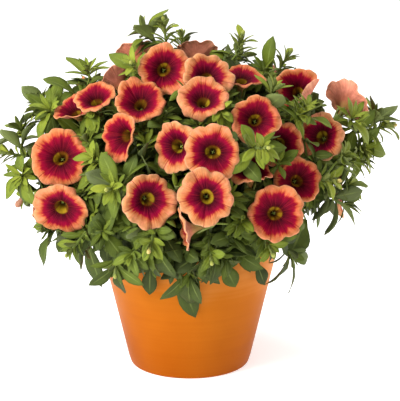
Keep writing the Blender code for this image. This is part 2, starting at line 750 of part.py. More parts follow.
def build_stem(name, path, forks, stalks, leaves, collection):
    """One leafy stem: its forks, leaves, buds, stalks and cups joined to it in one body."""
    last = len(path) - 1
    radii = [STEM_FOOT_RADIUS + (STEM_TIP_RADIUS - STEM_FOOT_RADIUS) * k / last for k in range(last + 1)]
    stem = tube_object(name, *with_bud(path, radii), collection)
    stem.data.materials.append(material(name + "_green", (0.10, 0.22, 0.04), 0.5))
    pieces = new_collection(name + "_pieces")
    for number, fork in enumerate(forks):
        slim = [FORK_RADIUS] * len(fork)
        tube_object("fork", *(with_bud(fork, slim) if number else (fork, slim)), pieces)
    for stalk, bloom in stalks:
        skin_object("stalk", stalk_skin(stalk, bloom), pieces)
    for leaf in leaves:
        skin_object("leaf", blade(leaf), pieces)
    join(stem, pieces)


def build_bloom(bloom, collection):
    look = material(bloom.name + "_petals", (0.85, 0.38, 0.22), 0.55)
    made = skin_object(bloom.name, corolla(bloom), collection, look)
    made.data.shade_smooth()
    made.data.set_sharp_from_angle(angle=math.radians(60))


def main():
    for item in list(bpy.data.objects):
        bpy.data.objects.remove(item)
    collection = new_collection("calibrachoa")
    blooms, stems, stalks, forks, leaves = grow_plant()
    build_pot(collection)
    build_soil(stems, collection)
    for name, path in stems.items():
        build_stem(
            name,
            path,
            [fork for owner, fork, shoot in forks if owner == name],
            [(stalk, bloom) for owner, stalk, bloom in stalks if owner == name],
            [leaf for owner, leaf in leaves if owner == name],
            collection,
        )
    for bloom in blooms:
        build_bloom(bloom, collection)


main()
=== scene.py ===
"""The calibrachoa's looks: fine blooms, leafy stems, glazed pot and soil, lit in a plain studio.

Metres, +Z up, in the frame of the CAD model. The first part repeats the rule by which the plant
grows, so each fine piece has the form and the place of the solid that it replaces.
"""

import json
import math
import random
from collections import namedtuple

import bmesh
import bpy
import numpy as np
from mathutils import Matrix, Vector, noise
from mathutils.bvhtree import BVHTree

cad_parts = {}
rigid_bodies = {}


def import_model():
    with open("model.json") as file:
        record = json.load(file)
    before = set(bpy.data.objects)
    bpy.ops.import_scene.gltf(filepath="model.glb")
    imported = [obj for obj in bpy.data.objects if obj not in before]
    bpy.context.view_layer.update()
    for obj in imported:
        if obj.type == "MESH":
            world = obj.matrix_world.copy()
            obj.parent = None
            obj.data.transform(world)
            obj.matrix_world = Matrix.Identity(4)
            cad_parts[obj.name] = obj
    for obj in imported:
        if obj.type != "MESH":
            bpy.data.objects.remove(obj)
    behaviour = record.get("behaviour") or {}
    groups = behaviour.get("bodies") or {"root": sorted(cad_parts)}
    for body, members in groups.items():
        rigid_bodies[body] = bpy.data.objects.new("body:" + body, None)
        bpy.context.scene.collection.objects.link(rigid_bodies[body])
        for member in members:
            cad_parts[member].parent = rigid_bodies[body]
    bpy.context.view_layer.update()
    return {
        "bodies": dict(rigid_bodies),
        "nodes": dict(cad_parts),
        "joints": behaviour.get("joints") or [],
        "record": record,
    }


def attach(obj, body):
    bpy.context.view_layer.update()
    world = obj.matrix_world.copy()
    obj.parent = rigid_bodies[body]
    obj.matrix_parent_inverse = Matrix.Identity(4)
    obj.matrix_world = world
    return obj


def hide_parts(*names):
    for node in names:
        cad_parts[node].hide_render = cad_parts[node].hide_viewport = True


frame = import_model()

MM = 0.001
UP = Vector((0, 0, 1))
GAP = 0.3 * MM

# Pot
POT_HEIGHT = 94 * MM
POT_RIM_RADIUS = 61 * MM
POT_FOOT_RADIUS = 39 * MM
POT_WALL = 4 * MM
POT_FLOOR = 6 * MM
POT_EDGE = 1.6 * MM
POT_SIDES = 36
DRAIN_RADIUS = 4 * MM
DRAIN_RING = 19 * MM
DRAIN_COUNT = 3

# Soil
SOIL_EDGE_HEIGHT = 81 * MM
SOIL_CROWN_HEIGHT = 85 * MM
HOLE_DEPTH = 10 * MM

# Dome that the plant fills
DOME_CENTRE = Vector((0, 0, 120 * MM))
DOME_REACH = 98 * MM
DOME_RISE = 88 * MM
DOME_FALL = 60 * MM

# Stems, forks and stalks
STEM_FOOT_RADIUS = 1.5 * MM
STEM_TIP_RADIUS = 0.8 * MM
FORK_RADIUS = 0.9 * MM
STALK_RADIUS = 0.7 * MM
STEM_BENDS = 5
FORK_BENDS = 3
STALK_BENDS = 3
CLEARANCE = 0.35 * MM
# Shares of the way along a stem where a stalk may start
STALK_ROOTS = (0.3, 0.4, 0.5, 0.6, 0.7, 0.8, 0.9, 0.97)

# Blooms
LOBES = 5
TUBE_LENGTH = 14 * MM
TUBE_FOOT_RADIUS = 0.9 * MM
TUBE_WAIST_RADIUS = 1.7 * MM
TUBE_WAIST = 9 * MM
THROAT_RADIUS = 3.9 * MM
LIMB_DEPTH = 3.5 * MM
LIMB_BEND = 0.52
PETAL_THICKNESS = 0.8 * MM
SINUS_DEPTH = 0.15
NOTCH_DEPTH = 0.05
CUP_LENGTH = 5 * MM
CUP_WALL = 0.8 * MM

# Leaves: each row is a share of the length and the share of the full width there
LEAF_THICKNESS = 1.0 * MM
LEAF_FOOT = 0.6 * MM
LEAF_FREE_FROM = 2.5 * MM
LEAF_ROWS = ((0.36, 0.88), (0.72, 0.86))
SMALL_LEAF_ROWS = ((0.58, 1.0),)
GOLDEN_ANGLE = math.radians(137.5)
SEED = 27

# Directions are in degrees: an azimuth of 0 faces the front and 90 the right, and an elevation of
# 90 is straight up. A share of 1 lies on the dome. Rings are distances from the pot's axis. A cup
# is how much further forward a bloom's rim stands. Rings, widths and cups are in mm.
Shoot = namedtuple("Shoot", "azimuth elevation share")
Stem = namedtuple("Stem", "name ring azimuth tip forks")
Bloom = namedtuple("Bloom", "name azimuth elevation share width yaw pitch cup")
Leaf = namedtuple("Leaf", "root along face length half_width arch rows")
Piece = namedtuple("Piece", "owner tree centre reach")
Plant = namedtuple("Plant", "blooms stems stalks forks leaves")

# Each row gives the place of a stem's foot, and its tip and forks as shoots
STEMS = [Stem(name, ring, azimuth, Shoot(*tip), [Shoot(*fork) for fork in forks])
         for name, ring, azimuth, tip, *forks in (
    ("stem_top_left", 6, -50, (-90, 82, 1.17), (-112, 74, 1.13), (-38, 60, 1.10)),
    ("stem_top_right", 7, 100, (100, 72, 1.10), (14, 43, 1.08)),
    ("stem_right_upper", 15, 70, (98, 55, 1.12), (54, 37, 1.06)),
    ("stem_left_upper", 15, -85, (-90, 29, 1.12), (-62, 42, 1.00)),
    ("stem_left", 22, -78, (-84, 12, 1.22), (-82, -3, 1.06)),
    ("stem_front_left", 16, -38, (-27, 12, 1.07), (-42, 22, 0.95)),
    ("stem_low_left", 25, -50, (-46, -16, 1.10), (-62, -16, 1.04), (-35, -38, 1.02)),
    ("stem_low_front", 25, -18, (-13, -12, 1.06), (-22, -22, 1.02)),
    ("stem_low_middle", 25, 10, (8, -20, 1.04), (0, -42, 1.00)),
    ("stem_front_right", 16, 20, (26, 20, 1.16), (20, -2, 0.96)),
    ("stem_low_right", 25, 40, (30, -18, 1.05), (50, -34, 1.02)),
    ("stem_right_lower", 21, 62, (56, 10, 1.10), (72, 4, 1.08)),
    ("stem_right", 20, 90, (90, 24, 1.36), (86, 10, 1.14)),
    ("stem_back_right", 18, 128, (128, 22, 1.12), (118, 42, 1.05), (120, -12, 1.05)),
    ("stem_back", 20, 172, (168, 8, 1.12), (158, -16, 1.03)),
    ("stem_back_top", 9, 200, (186, 56, 1.10), (150, 50, 1.05)),
    ("stem_back_left", 19, -128, (-132, 12, 1.12), (-130, 36, 1.05), (-150, -18, 1.04)),
    ("stem_low_back_left", 25, -102, (-108, -12, 1.08), (-112, 24, 1.02)),
)]

BLOOMS = [Bloom(*row) for row in (
    ("bloom_crown", -20, 64, 1.04, 35, 3, 15, 1),
    ("bloom_crown_right", 14, 62, 0.90, 34, 12, 34, 1),
    ("bloom_brow_right", 8, 50, 1.02, 34, 6, 52, 2),
    ("bloom_brow_left", -28, 49, 0.97, 34, -6, 46, 1),
    ("bloom_shade_left", -31, 33, 0.96, 33, -46, 4, 2),
    ("bloom_centre_left", -6, 31, 0.95, 34, -26, 14, 1),
    ("bloom_centre", 9, 27, 1.00, 37, 0, 12, 0),
    ("bloom_left", -57, 19, 1.02, 38, -8, 22, 0),
    ("bloom_left_low", -51, -1, 1.03, 39, -6, -18, 0),
    ("bloom_front_left", -14, 9, 1.00, 37, 20, 8, 1),
    ("bloom_front", 6, 11, 1.08, 36, 2, 14, -1),
    ("bloom_right_brow", 31, 39, 1.02, 33, 2, 22, 1),
    ("bloom_front_right", 31, 2, 1.03, 37, 6, 14, 0),
    ("bloom_right", 65, 26, 1.02, 33, -16, 22, 2),
    ("bloom_shade_right", 46, 29, 0.90, 31, 8, 10, 1),
    ("bloom_right_top", 74, 45, 1.02, 34, -6, 26, 2),
    ("bloom_right_low", 47, 12, 0.95, 32, 12, 18, 0),
    ("bloom_top_edge", 46, 62, 0.98, 32, 14, 72, -1),
    ("bloom_left_brow", -59, 46, 1.0, 29, -24, 56, 1),
    ("bloom_left_shoulder", -70, 38, 1.0, 28, -44, 52, 1),
    ("bloom_mid_right", 27, 20, 0.90, 32, 20, 74, 0),
    ("bloom_right_side", 88, 31, 1.20, 34, 146, 30, 1),
    ("bloom_left_high", -78, 58, 0.92, 29, -128, 34, 1),
    ("bloom_front_low", -2, -5, 0.97, 29, -84, -12, 0),
    ("bloom_top_back_left", -118, 67, 1.0, 31, -150, 40, 1),
    ("bloom_top_back", 160, 80, 0.94, 29, 165, 42, 1),
    ("bloom_side_right_low", 84, -4, 1.0, 35, 84, 4, 0),
    ("bloom_side_left_low", -92, -8, 1.0, 35, -96, 2, 0),
    ("bloom_back_right", 122, 8, 1.0, 36, 124, 12, 0),
    ("bloom_back_right_high", 136, 36, 1.0, 35, 132, 30, 1),
    ("bloom_back", 152, 14, 1.0, 36, 152, 12, 0),
    ("bloom_back_high", 178, 48, 1.0, 35, 176, 42, 1),
    ("bloom_back_middle", -172, 22, 1.0, 36, -172, 16, 0),
    ("bloom_back_low", 178, -6, 1.0, 35, 176, 0, 0),
    ("bloom_back_left", -148, 12, 1.0, 36, -148, 12, 0),
    ("bloom_back_left_high", -140, 40, 1.0, 35, -138, 32, 1),
    ("bloom_back_left_side", -116, 8, 1.0, 35, -118, 10, 0),
    ("bloom_left_side_high", -106, 36, 1.0, 33, -104, 30, 1),
)]

# Directions and places


def direction(azimuth, elevation):
    """Unit vector: azimuth 0 points to the front, -Y, and 90 to the right, +X."""
    a, e = math.radians(azimuth), math.radians(elevation)
    return Vector((math.sin(a) * math.cos(e), -math.cos(a) * math.cos(e), math.sin(e)))


def on_dome(azimuth, elevation, share):
    """The point on the dome, or at that share of the way out to it."""
    way = direction(azimuth, elevation)
    rise = DOME_RISE if elevation > 0 else DOME_FALL
    return DOME_CENTRE + Vector((way.x * DOME_REACH, way.y * DOME_REACH, way.z * rise)) * share


def pot_radius(height):
    """Outer radius of the pot at a height."""
    return POT_FOOT_RADIUS + (POT_RIM_RADIUS - POT_FOOT_RADIUS) * height / POT_HEIGHT


def soil_height(radius):
    """Height of the soil's low crown at a distance from the axis."""
    share = min(1.0, radius / (pot_radius(SOIL_EDGE_HEIGHT) - POT_WALL))
    return SOIL_CROWN_HEIGHT + (SOIL_EDGE_HEIGHT - SOIL_CROWN_HEIGHT) * share * share


def square_to(axis, wanted):
    """The part of wanted that is square to axis, as a unit vector."""
    flat = wanted - axis * axis.dot(wanted)
    return flat.normalized() if flat.length > 1e-6 else axis.orthogonal().normalized()


def curve_path(root, leave, tip, arrive, bends):
    """Points of a smooth path that leaves its root and meets its tip along the given vectors."""
    points = []
    for k in range(bends + 1):
        t = k / bends
        s = 1 - t
        near = root * (s * s * s) + (root + leave) * (3 * s * s * t)
        points.append(near + (tip - arrive) * (3 * s * t * t) + tip * (t * t * t))
    return points


def bends_gently(path, axis):
    """True if the path's bends, and its turn into the axis at its end, are below 60 degrees."""
    runs = [(b - a).normalized() for a, b in zip(path, path[1:])] + [axis]
    return all(a.dot(b) > 0.5 for a, b in zip(runs, runs[1:]))


def along_path(path, share):
    """Point and direction at a share of the way along a path of even steps."""
    place = max(0.0, min(0.9999, share)) * (len(path) - 1)
    step = int(place)
    a, b = path[step], path[step + 1]
    return a.lerp(b, place - step), (b - a).normalized()


# Closed skins, each a list of points and a list of faces


def band(a, b):
    """Triangles between two rings of point numbers, of like count, or one with twice as many."""
    if len(a) > len(b):
        return [face[::-1] for face in band(b, a)]
    if len(a) == 1:
        return [(a[0], b[(k + 1) % len(b)], b[k]) for k in range(len(b))]
    faces = []
    for i in range(len(a)):
        j = (i + 1) % len(a)
        if len(b) == len(a):
            faces += [(a[i], b[j], b[i]), (a[i], a[j], b[j])]
        else:
            faces += [(a[i], b[2 * i + 1], b[2 * i]), (a[i], a[j], b[2 * i + 1])]
            faces.append((a[j], b[2 * j], b[2 * i + 1]))
    return faces


def loft(rings):
    """The closed skin through rings of points, whose first and last are single points."""
    points = [point for ring in rings for point in ring]
    starts = [sum(len(ring) for ring in rings[:k]) for k in range(len(rings))]
    numbers = [list(range(start, start + len(ring))) for start, ring in zip(starts, rings)]
    return points, [face for a, b in zip(numbers, numbers[1:]) for face in band(a, b)]


def even_turns(count, start=0.0):
    """Cosines and sines of a full turn's even parts."""
    turns = [2 * math.pi * k / count + start for k in range(count)]
    return [(math.cos(turn), math.sin(turn)) for turn in turns]


def level_ring(radius, height, count):
    """Points of a circle about +Z."""
    return [Vector((radius * c, radius * s, height)) for c, s in even_turns(count)]


def sleeve(path, radius):
    """A plain pipe around a path."""
    rings = [[path[0]]]
    x = UP
    for k, point in enumerate(path):
        run = (path[min(k + 1, len(path) - 1)] - path[max(k - 1, 0)]).normalized()
        x = square_to(run, x)
        y = run.cross(x)
        rings.append([point + (x * c + y * s) * radius for c, s in even_turns(6)])
    rings.append([path[-1]])
    return loft(rings)


def blade(leaf, grow=0.0):
    """A leaf: an arched blade with a keel under its rib, sharp at its edges."""
    side = leaf.along.cross(leaf.face)
    rings = []
    for share, width in ((0.0, 0.0), *leaf.rows, (1.0, 0.0)):
        turn = leaf.arch * share
        spine = leaf.root + leaf.along * (leaf.length * math.sin(turn) / leaf.arch)
        spine -= leaf.face * (leaf.length * (1 - math.cos(turn)) / leaf.arch)
        if share == 1:
            rings.append([spine])
            break
        normal = leaf.face * math.cos(turn) + leaf.along * math.sin(turn)
        half = max(LEAF_FOOT, leaf.half_width * width) + grow
        keel = spine - normal * (LEAF_THICKNESS + grow)
        edges = (spine + side * half, spine - side * half)
        rings.append([*(edge + normal * grow for edge in edges), keel])
    return loft([[leaf.root], *rings])


def rim_share(angle):
    """How far the edge reaches at an angle: drawn in between lobes, and a little at each tip."""
    half_lobe = math.pi / LOBES
    from_tip = math.degrees(abs((angle + half_lobe) % (2 * half_lobe) - half_lobe))
    sinus = math.exp(-(((from_tip - 36) / 9) ** 2))
    notch = math.exp(-((from_tip / 7) ** 2))
    return 1 - SINUS_DEPTH * sinus - NOTCH_DEPTH * notch


def bloom_frame(bloom):
    """Matrix of a bloom: its origin is the foot of the tube, and +Z runs up the tube."""
    axis = direction(bloom.yaw, bloom.pitch)
    foot = on_dome(bloom.azimuth, bloom.elevation, bloom.share) - axis * (TUBE_LENGTH + LIMB_DEPTH)
    x = square_to(axis, UP)
    y = axis.cross(x)
    spin = Matrix.Rotation(math.radians(bloom.azimuth * 3 + bloom.elevation), 4, "Z")
    return Matrix.Translation(foot) @ Matrix((x, y, axis)).transposed().to_4x4() @ spin


def corolla(bloom, grow=0.0):
    """A bloom's funnel: a narrow tube that opens through the throat into five joined lobes."""
    radius = bloom.width * MM / 2 + grow
    rim = []
    for point in level_ring(radius, TUBE_LENGTH + LIMB_DEPTH + bloom.cup * MM, 4 * LOBES):
        angle = math.atan2(point.y, point.x)
        reach = rim_share(angle)
        wave = radius * 0.07 * math.cos(LOBES * angle)
        rim.append(Vector((point.x * reach, point.y * reach, point.z - wave)))
    bend = TUBE_LENGTH + LIMB_DEPTH * 0.75
    thick = PETAL_THICKNESS + grow
    points, faces = loft([
        [Vector((0, 0, -grow))],
        level_ring(TUBE_FOOT_RADIUS + grow, -grow, LOBES),
        level_ring(TUBE_WAIST_RADIUS + grow, TUBE_WAIST, LOBES),
        level_ring(THROAT_RADIUS + thick / 2, TUBE_LENGTH - thick, 2 * LOBES),
        level_ring(radius * LIMB_BEND, bend - thick, 2 * LOBES),
        rim,
        level_ring(radius * LIMB_BEND, bend, 2 * LOBES),
        level_ring(THROAT_RADIUS, TUBE_LENGTH, 2 * LOBES),
        [Vector((0, 0, TUBE_WAIST * 0.8))],
    ])
    frame = bloom_frame(bloom)
    return [frame @ point for point in points], faces


def cup_rings(bloom, grow=0.0):
    """Rings of the green cup that holds the foot of a bloom's tube, thinned to a sharp mouth."""
    inner = TUBE_FOOT_RADIUS + GAP / math.cos(math.pi / LOBES)
    rings = [
        level_ring(inner + CUP_WALL + grow, -GAP, LOBES),
        level_ring(TUBE_WAIST_RADIUS + GAP + grow, CUP_LENGTH, LOBES),
        level_ring(inner, -GAP, LOBES),
        [Vector((0, 0, -GAP))],
    ]
    frame = bloom_frame(bloom)
    return [[frame @ point for point in ring] for ring in rings]


def cup(bloom, grow=0.0):
    """The cup by itself, closed below."""
    return loft([[bloom_frame(bloom) @ Vector((0, 0, -GAP - 2 * MM))], *cup_rings(bloom, grow)])


def pot_skin():
    """The pot's outer side, its rim and the soil, as one closed skin."""
    rings = [[Vector((0, 0, 0))]]
    for height in (0, POT_HEIGHT / 2, POT_HEIGHT):
        rings.append(level_ring(pot_radius(height) + GAP, height, POT_SIDES))
    rings.append(level_ring(POT_RIM_RADIUS - POT_WALL - GAP, POT_HEIGHT, POT_SIDES))
    rings.append(level_ring(pot_radius(SOIL_EDGE_HEIGHT) - POT_WALL, SOIL_EDGE_HEIGHT, POT_SIDES))
    return loft([*rings, [Vector((0, 0, SOIL_CROWN_HEIGHT))]])


# How the plant grows


class Room:
    """The pieces placed so far. A new piece may touch only pieces of its own owner."""

    def __init__(self):
        self.pieces = []

    def measure(self, points):
        low = Vector([min(point[k] for point in points) for k in range(3)])
        high = Vector([max(point[k] for point in points) for k in range(3)])
        return (low + high) / 2, (high - low).length / 2

    def add(self, owner, shape):
        self.pieces.append(Piece(owner, BVHTree.FromPolygons(*shape), *self.measure(shape[0])))

    def clear(self, owner, shape):
        centre, reach = self.measure(shape[0])
        tree = BVHTree.FromPolygons(*shape)
        for piece in self.pieces:
            near = (piece.centre - centre).length < piece.reach + reach
            if near and piece.owner != owner and tree.overlap(piece.tree):
                return False
        return True


def place_blooms(room):
    """The blooms where they have room: one that would cross another moves a little further out."""
    placed = []
    for bloom in BLOOMS:
        for step in range(30):
            trial = bloom._replace(share=bloom.share + 0.012 * step)
            clear = room.clear(bloom.name, corolla(trial, CLEARANCE))
            if clear and room.clear("", cup(trial, CLEARANCE)):
                break
        room.add(bloom.name, corolla(trial))
        room.add("cup of " + bloom.name, cup(trial))
        placed.append(trial)
    return placed


def stem_path(stem, sway, turn, lift):
    """Points of a main stem: upright in its hole, then arching out to its tip."""
    foot = direction(stem.azimuth, 0) * (stem.ring * MM)
    foot.z = soil_height(foot.length)
    tip = on_dome(stem.tip.azimuth + turn, stem.tip.elevation + lift, stem.tip.share)
    rise = max(52 * MM, (tip.z - foot.z) * 0.7)
    leave = Vector((foot.x * 0.25, foot.y * 0.25, rise * 0.75))
    out, crest = 0.66 + sway, max(tip.z - 5 * MM, foot.z + rise)
    if stem.tip.elevation > 45:
        out, crest = 0.7 + sway, foot.z + rise
    over = Vector((tip.x * out, tip.y * out, crest))
    return [foot - UP * (HOLE_DEPTH - GAP)] + curve_path(foot, leave, tip, tip - over, STEM_BENDS)


def grow_stems(room):
    """A path for each stem, turned or swayed from its own way where a bloom stands in it."""
    ways = [(sway, turn, lift) for turn in (0, 5, -5, 10, -10, 15, -15) for lift in (0, 6, -6, 12)
            for sway in (0, 0.12, -0.12, 0.24, -0.24)]
    paths = {}
    for stem in STEMS:
        for way in ways:
            path = stem_path(stem, *way)
            if room.clear(stem.name, sleeve(path[2:], STEM_FOOT_RADIUS + CLEARANCE)):
                break
        else:
            raise RuntimeError(f"{stem.name} has no room")
        room.add(stem.name, sleeve(path[1:], STEM_FOOT_RADIUS))
        paths[stem.name] = path
    return paths


def roots_near(place, stems, shares):
    """Where a side shoot to a place can start: distance, stem, point, direction. Nearest first."""
    roots = []
    for name, path in stems.items():
        for share in shares:
            root, run = along_path(path, share)
            roots.append(((place - root).length, name, root, run))
    return sorted(roots, key=lambda root: root[0])


def grow_stalks(room, blooms, stems):
    """A stalk for each bloom, from the nearest stem that reaches it past the other pieces."""
    stalks = []
    for bloom in blooms:
        frame = bloom_frame(bloom)
        axis = frame.col[2].to_3d()
        foot = frame @ Vector((0, 0, -GAP - 1.3 * MM))
        others = Room()
        others.pieces = [piece for piece in room.pieces if piece.owner != "cup of " + bloom.name]
        for distance, name, root, run in roots_near(foot, stems, STALK_ROOTS):
            for bow in (0.4, 0.6, 0.25):
                leave = (run * 0.8 + (foot - root).normalized()).normalized() * (distance * bow)
                path = curve_path(root, leave, foot, axis * (distance * bow), STALK_BENDS)
                gentle = distance > 5 * MM and bends_gently(path, axis)
                if gentle and others.clear(name, sleeve(path, STALK_RADIUS + CLEARANCE)):
                    break
            else:
                continue
            break
        else:
            raise RuntimeError(f"no stalk reaches {bloom.name}")
        room.pieces = others.pieces
        room.add(name, sleeve(path, STALK_RADIUS))
        room.add(name, cup(bloom))
        stalks.append((name, path, bloom))
    return stalks


def grow_forks(room, stems):
    """Side shoots, each from its stem towards its own place on the dome."""
    forks = []
    for stem in STEMS:
        for shoot in stem.forks:
            trials = [(share, pull, turn) for pull in (1, 0.9, 0.8, 0.7)
                      for turn in (0, 6, -6, 12, -12) for share in (0.6, 0.45, 0.75, 0.88)]
            for share, pull, turn in trials:
                root, run = along_path(stems[stem.name], share)
                tip = on_dome(shoot.azimuth + turn, shoot.elevation, shoot.share)
                out = (tip - DOME_CENTRE).normalized()
                arrive = out * 0.5 - UP if shoot.elevation < -30 else out + UP * 0.4
                tip = root.lerp(tip, pull)
                bow = (tip - root).length * 0.4
                path = curve_path(root, run * bow, tip, arrive.normalized() * bow, FORK_BENDS)
                if room.clear(stem.name, sleeve(path, FORK_RADIUS + CLEARANCE)):
                    room.add(stem.name, sleeve(path, FORK_RADIUS))
                    forks.append((stem.name, path, shoot))
                    break
    return forks


# Turn, tilt and size changes that a leaf tries, in order, to find room
NUDGES = ((0, 0, 1), (20, 0, 1), (-20, 0, 1), (0, -14, 1), (0, 14, 1), (38, 0, 0.9), (-38, 0, 0.9),
          (0, -24, 0.8), (20, -14, 0.8), (-20, -14, 0.8), (0, 0, 0.7), (60, 0, 0.7), (-60, 0, 0.7))


def leaf_on(path, share, spin, opening, length, half_width, arch, rows):
    """A leaf on a shoot: spin is its turn about the shoot, and opening its angle away from it."""
    root, run = along_path(path, share)
    out = square_to(run, root - DOME_CENTRE + UP * 20 * MM)
    away = out * math.cos(spin) + run.cross(out) * math.sin(spin)
    along = (run * math.cos(opening) + away * math.sin(opening)).normalized()
    light = run * 0.6 + (root - DOME_CENTRE).normalized() * 0.6 + UP * 0.5
    return Leaf(root, along, square_to(along, light), length, half_width, arch, rows)


def free_part(leaf):
    """The leaf beyond its foot, which may not cross its own stem or the leaves beside it."""
    foot = LEAF_FREE_FROM
    return leaf._replace(root=leaf.root + leaf.along * foot, length=leaf.length - foot)


def grow_leaves(room, shoots, draw):
    """Leaves in a spiral up each shoot, the last ones small and close. A leaf in another piece's
    way is turned, tilted or shortened, and left out where it still has no room."""
    leaves = []
    for owner, path, first, count, tip_count, tip_size in shoots:
        phase = draw.uniform(0, 2 * math.pi)
        for k in range(count + tip_count):
            if k < count:
                share = first + (0.92 - first) * k / max(1, count - 1)
                opening = math.radians(draw.uniform(58, 84))
                length = draw.uniform(20, 28) * (1.1 - 0.25 * share) * MM
                half_width = length * draw.uniform(0.18, 0.23)
            else:
                share = 0.95 + 0.045 * (k - count + 1) / tip_count
                opening = math.radians(draw.uniform(24, 50))
                length = draw.uniform(11, 15) * tip_size * MM
                half_width = length * draw.uniform(0.17, 0.20)
            arch = draw.uniform(0.25, 0.9)
            rows = LEAF_ROWS if length > 16 * MM else SMALL_LEAF_ROWS
            spin = phase + k * GOLDEN_ANGLE
            for turn, tilt, size in NUDGES:
                leaf = leaf_on(path, share, spin + math.radians(turn), opening + math.radians(tilt),
                               length * size, half_width * size, arch, rows)
                clear = room.clear(owner, blade(leaf, CLEARANCE))
                if clear and room.clear("", blade(free_part(leaf))):
                    room.add(owner, blade(leaf))
                    leaves.append((owner, leaf))
                    break
    return leaves


def grow_plant():
    """Where everything grows. Each later kind of piece keeps clear of the earlier ones."""
    room = Room()
    room.add("pot", pot_skin())
    blooms = place_blooms(room)
    stems = grow_stems(room)
    stalks = grow_stalks(room, blooms, stems)
    forks = grow_forks(room, stems)
    shoots = [(name, path, 0.45, 4, 3, 1.0) for name, path in stems.items()]
    for name, path, shoot in forks:
        shoots.append((name, path, 0.55, 1, 3, 1.9 if shoot.elevation < -30 else 1.0))
    leaves = grow_leaves(room, shoots, random.Random(SEED))
    return Plant(blooms, stems, stalks, forks, leaves)


# Fine shapes: points, faces, and for each point a vector and a tint that its shader reads

PETAL_LOOK, STEM_LOOK, LEAF_LOOK, BUD_LOOK = range(4)
# Range of a random phase or turn, in radians
PHASES = (0, 6.28)


class Mesh:
    """Collects fine shapes for one object."""

    def __init__(self):
        self.points, self.faces, self.looks, self.vectors, self.tints = [], [], [], [], []
        self.count = 0

    def add(self, points, faces, look, vectors, tint):
        self.points.append(np.asarray(points, dtype=float))
        self.vectors.append(np.asarray(vectors, dtype=float))
        self.tints.append(np.broadcast_to(np.asarray(tint, dtype=float), len(points)))
        self.faces += [tuple(int(n) + self.count for n in face) for face in faces]
        self.looks += [look] * len(faces)
        self.count += len(points)

    def make(self, name, materials):
        mesh = bpy.data.meshes.new(name)
        mesh.from_pydata(np.concatenate(self.points).tolist(), [], self.faces)
        for look in materials:
            mesh.materials.append(look)
        mesh.polygons.foreach_set("material_index", np.array(self.looks, dtype=np.int32))
        vectors = mesh.attributes.new("place", "FLOAT_VECTOR", "POINT")
        vectors.data.foreach_set("vector", np.concatenate(self.vectors).astype(np.float32).ravel())
        tints = mesh.attributes.new("tint", "FLOAT", "POINT")
        tints.data.foreach_set("value", np.concatenate(self.tints).astype(np.float32))
        mesh.shade_smooth()
        return add_piece(name, mesh)


def add_piece(name, mesh):
    made = bpy.data.objects.new(name, mesh)
    bpy.context.scene.collection.objects.link(made)
    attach(made, "root")
    return made


def wrap_faces(rows, columns):
    """Quads of a grid whose last column joins its first."""
    faces = []
    for r in range(rows - 1):
        for c in range(columns):
            d = (c + 1) % columns
            a, b = r * columns, (r + 1) * columns
            faces.append((a + c, a + d, b + d, b + c))
    return faces


def tube_faces(rows, columns):
    """Faces of a tube, rows of which are rings of points, closed at both its ends."""
    last = (rows - 1) * columns
    ends = [tuple(reversed(range(columns))), tuple(range(last, last + columns))]
    return wrap_faces(rows, columns) + ends


def turned_over(faces):
    return [face[::-1] for face in faces]


def smooth_path(path, parts):
    """More points on a smooth curve through the path's own points."""
    fine = []
    last = len(path) - 1
    for k in range(last):
        before, a, b, after = path[max(k - 1, 0)], path[k], path[k + 1], path[min(k + 2, last)]
        for n in range(parts):
            t = n / parts
            square = 2 * before - 5 * a + 4 * b - after
            cube = 3 * a - before - 3 * b + after
            fine.append((2 * a + (b - before) * t + square * t * t + cube * t * t * t) / 2)
    return fine + [path[-1]]


def add_tube(mesh, path, radii, sides, look, tint):
    """A round tube along a path. Its radii are given at even steps."""
    count = len(path)
    radii = np.interp(np.linspace(0, 1, count), np.linspace(0, 1, len(radii)), radii)
    points, vectors = [], []
    x = Vector((0.31, 0.17, 0.93))
    walked = 0.0
    for k, point in enumerate(path):
        run = (path[min(k + 1, count - 1)] - path[max(k - 1, 0)]).normalized()
        x = square_to(run, x)
        y = run.cross(x)
        walked += (point - path[max(k - 1, 0)]).length
        for c, s in even_turns(sides):
            points.append(point + (x * c + y * s) * radii[k])
            vectors.append((c, s, walked / MM / 10))
    mesh.add(points, tube_faces(count, sides), look, vectors, tint)


BALL_ROWS, BALL_SIDES = 4, 7
BALL_FACES = turned_over(tube_faces(BALL_ROWS, BALL_SIDES))


def add_ball(mesh, centre, radius, look, tint):
    """A small ball with flat ends."""
    points, vectors = [], []
    for row in range(1, BALL_ROWS + 1):
        polar = math.pi * row / (BALL_ROWS + 1)
        for c, s in even_turns(BALL_SIDES):
            way = Vector((math.sin(polar) * c, math.sin(polar) * s, math.cos(polar)))
            points.append(centre + way * radius)
            vectors.append(way)
    mesh.add(points, BALL_FACES, look, vectors, tint)


# Blooms

RIM_STEPS = 80
LIMB_ROWS = 15
PETAL_SKIN = 0.35 * MM
# Radius and height of the funnel's inner face, in mm, up to where the limb starts to spread
FUNNEL = ((0.75, 1.5), (0.95, 4.0), (1.3, 7.0), (1.8, 9.4), (2.6, 11.4), (3.4, 12.8), (4.3, 13.9))
SCALLOP_CENTRE = 0.62
SCALLOP_RADIUS = 0.40

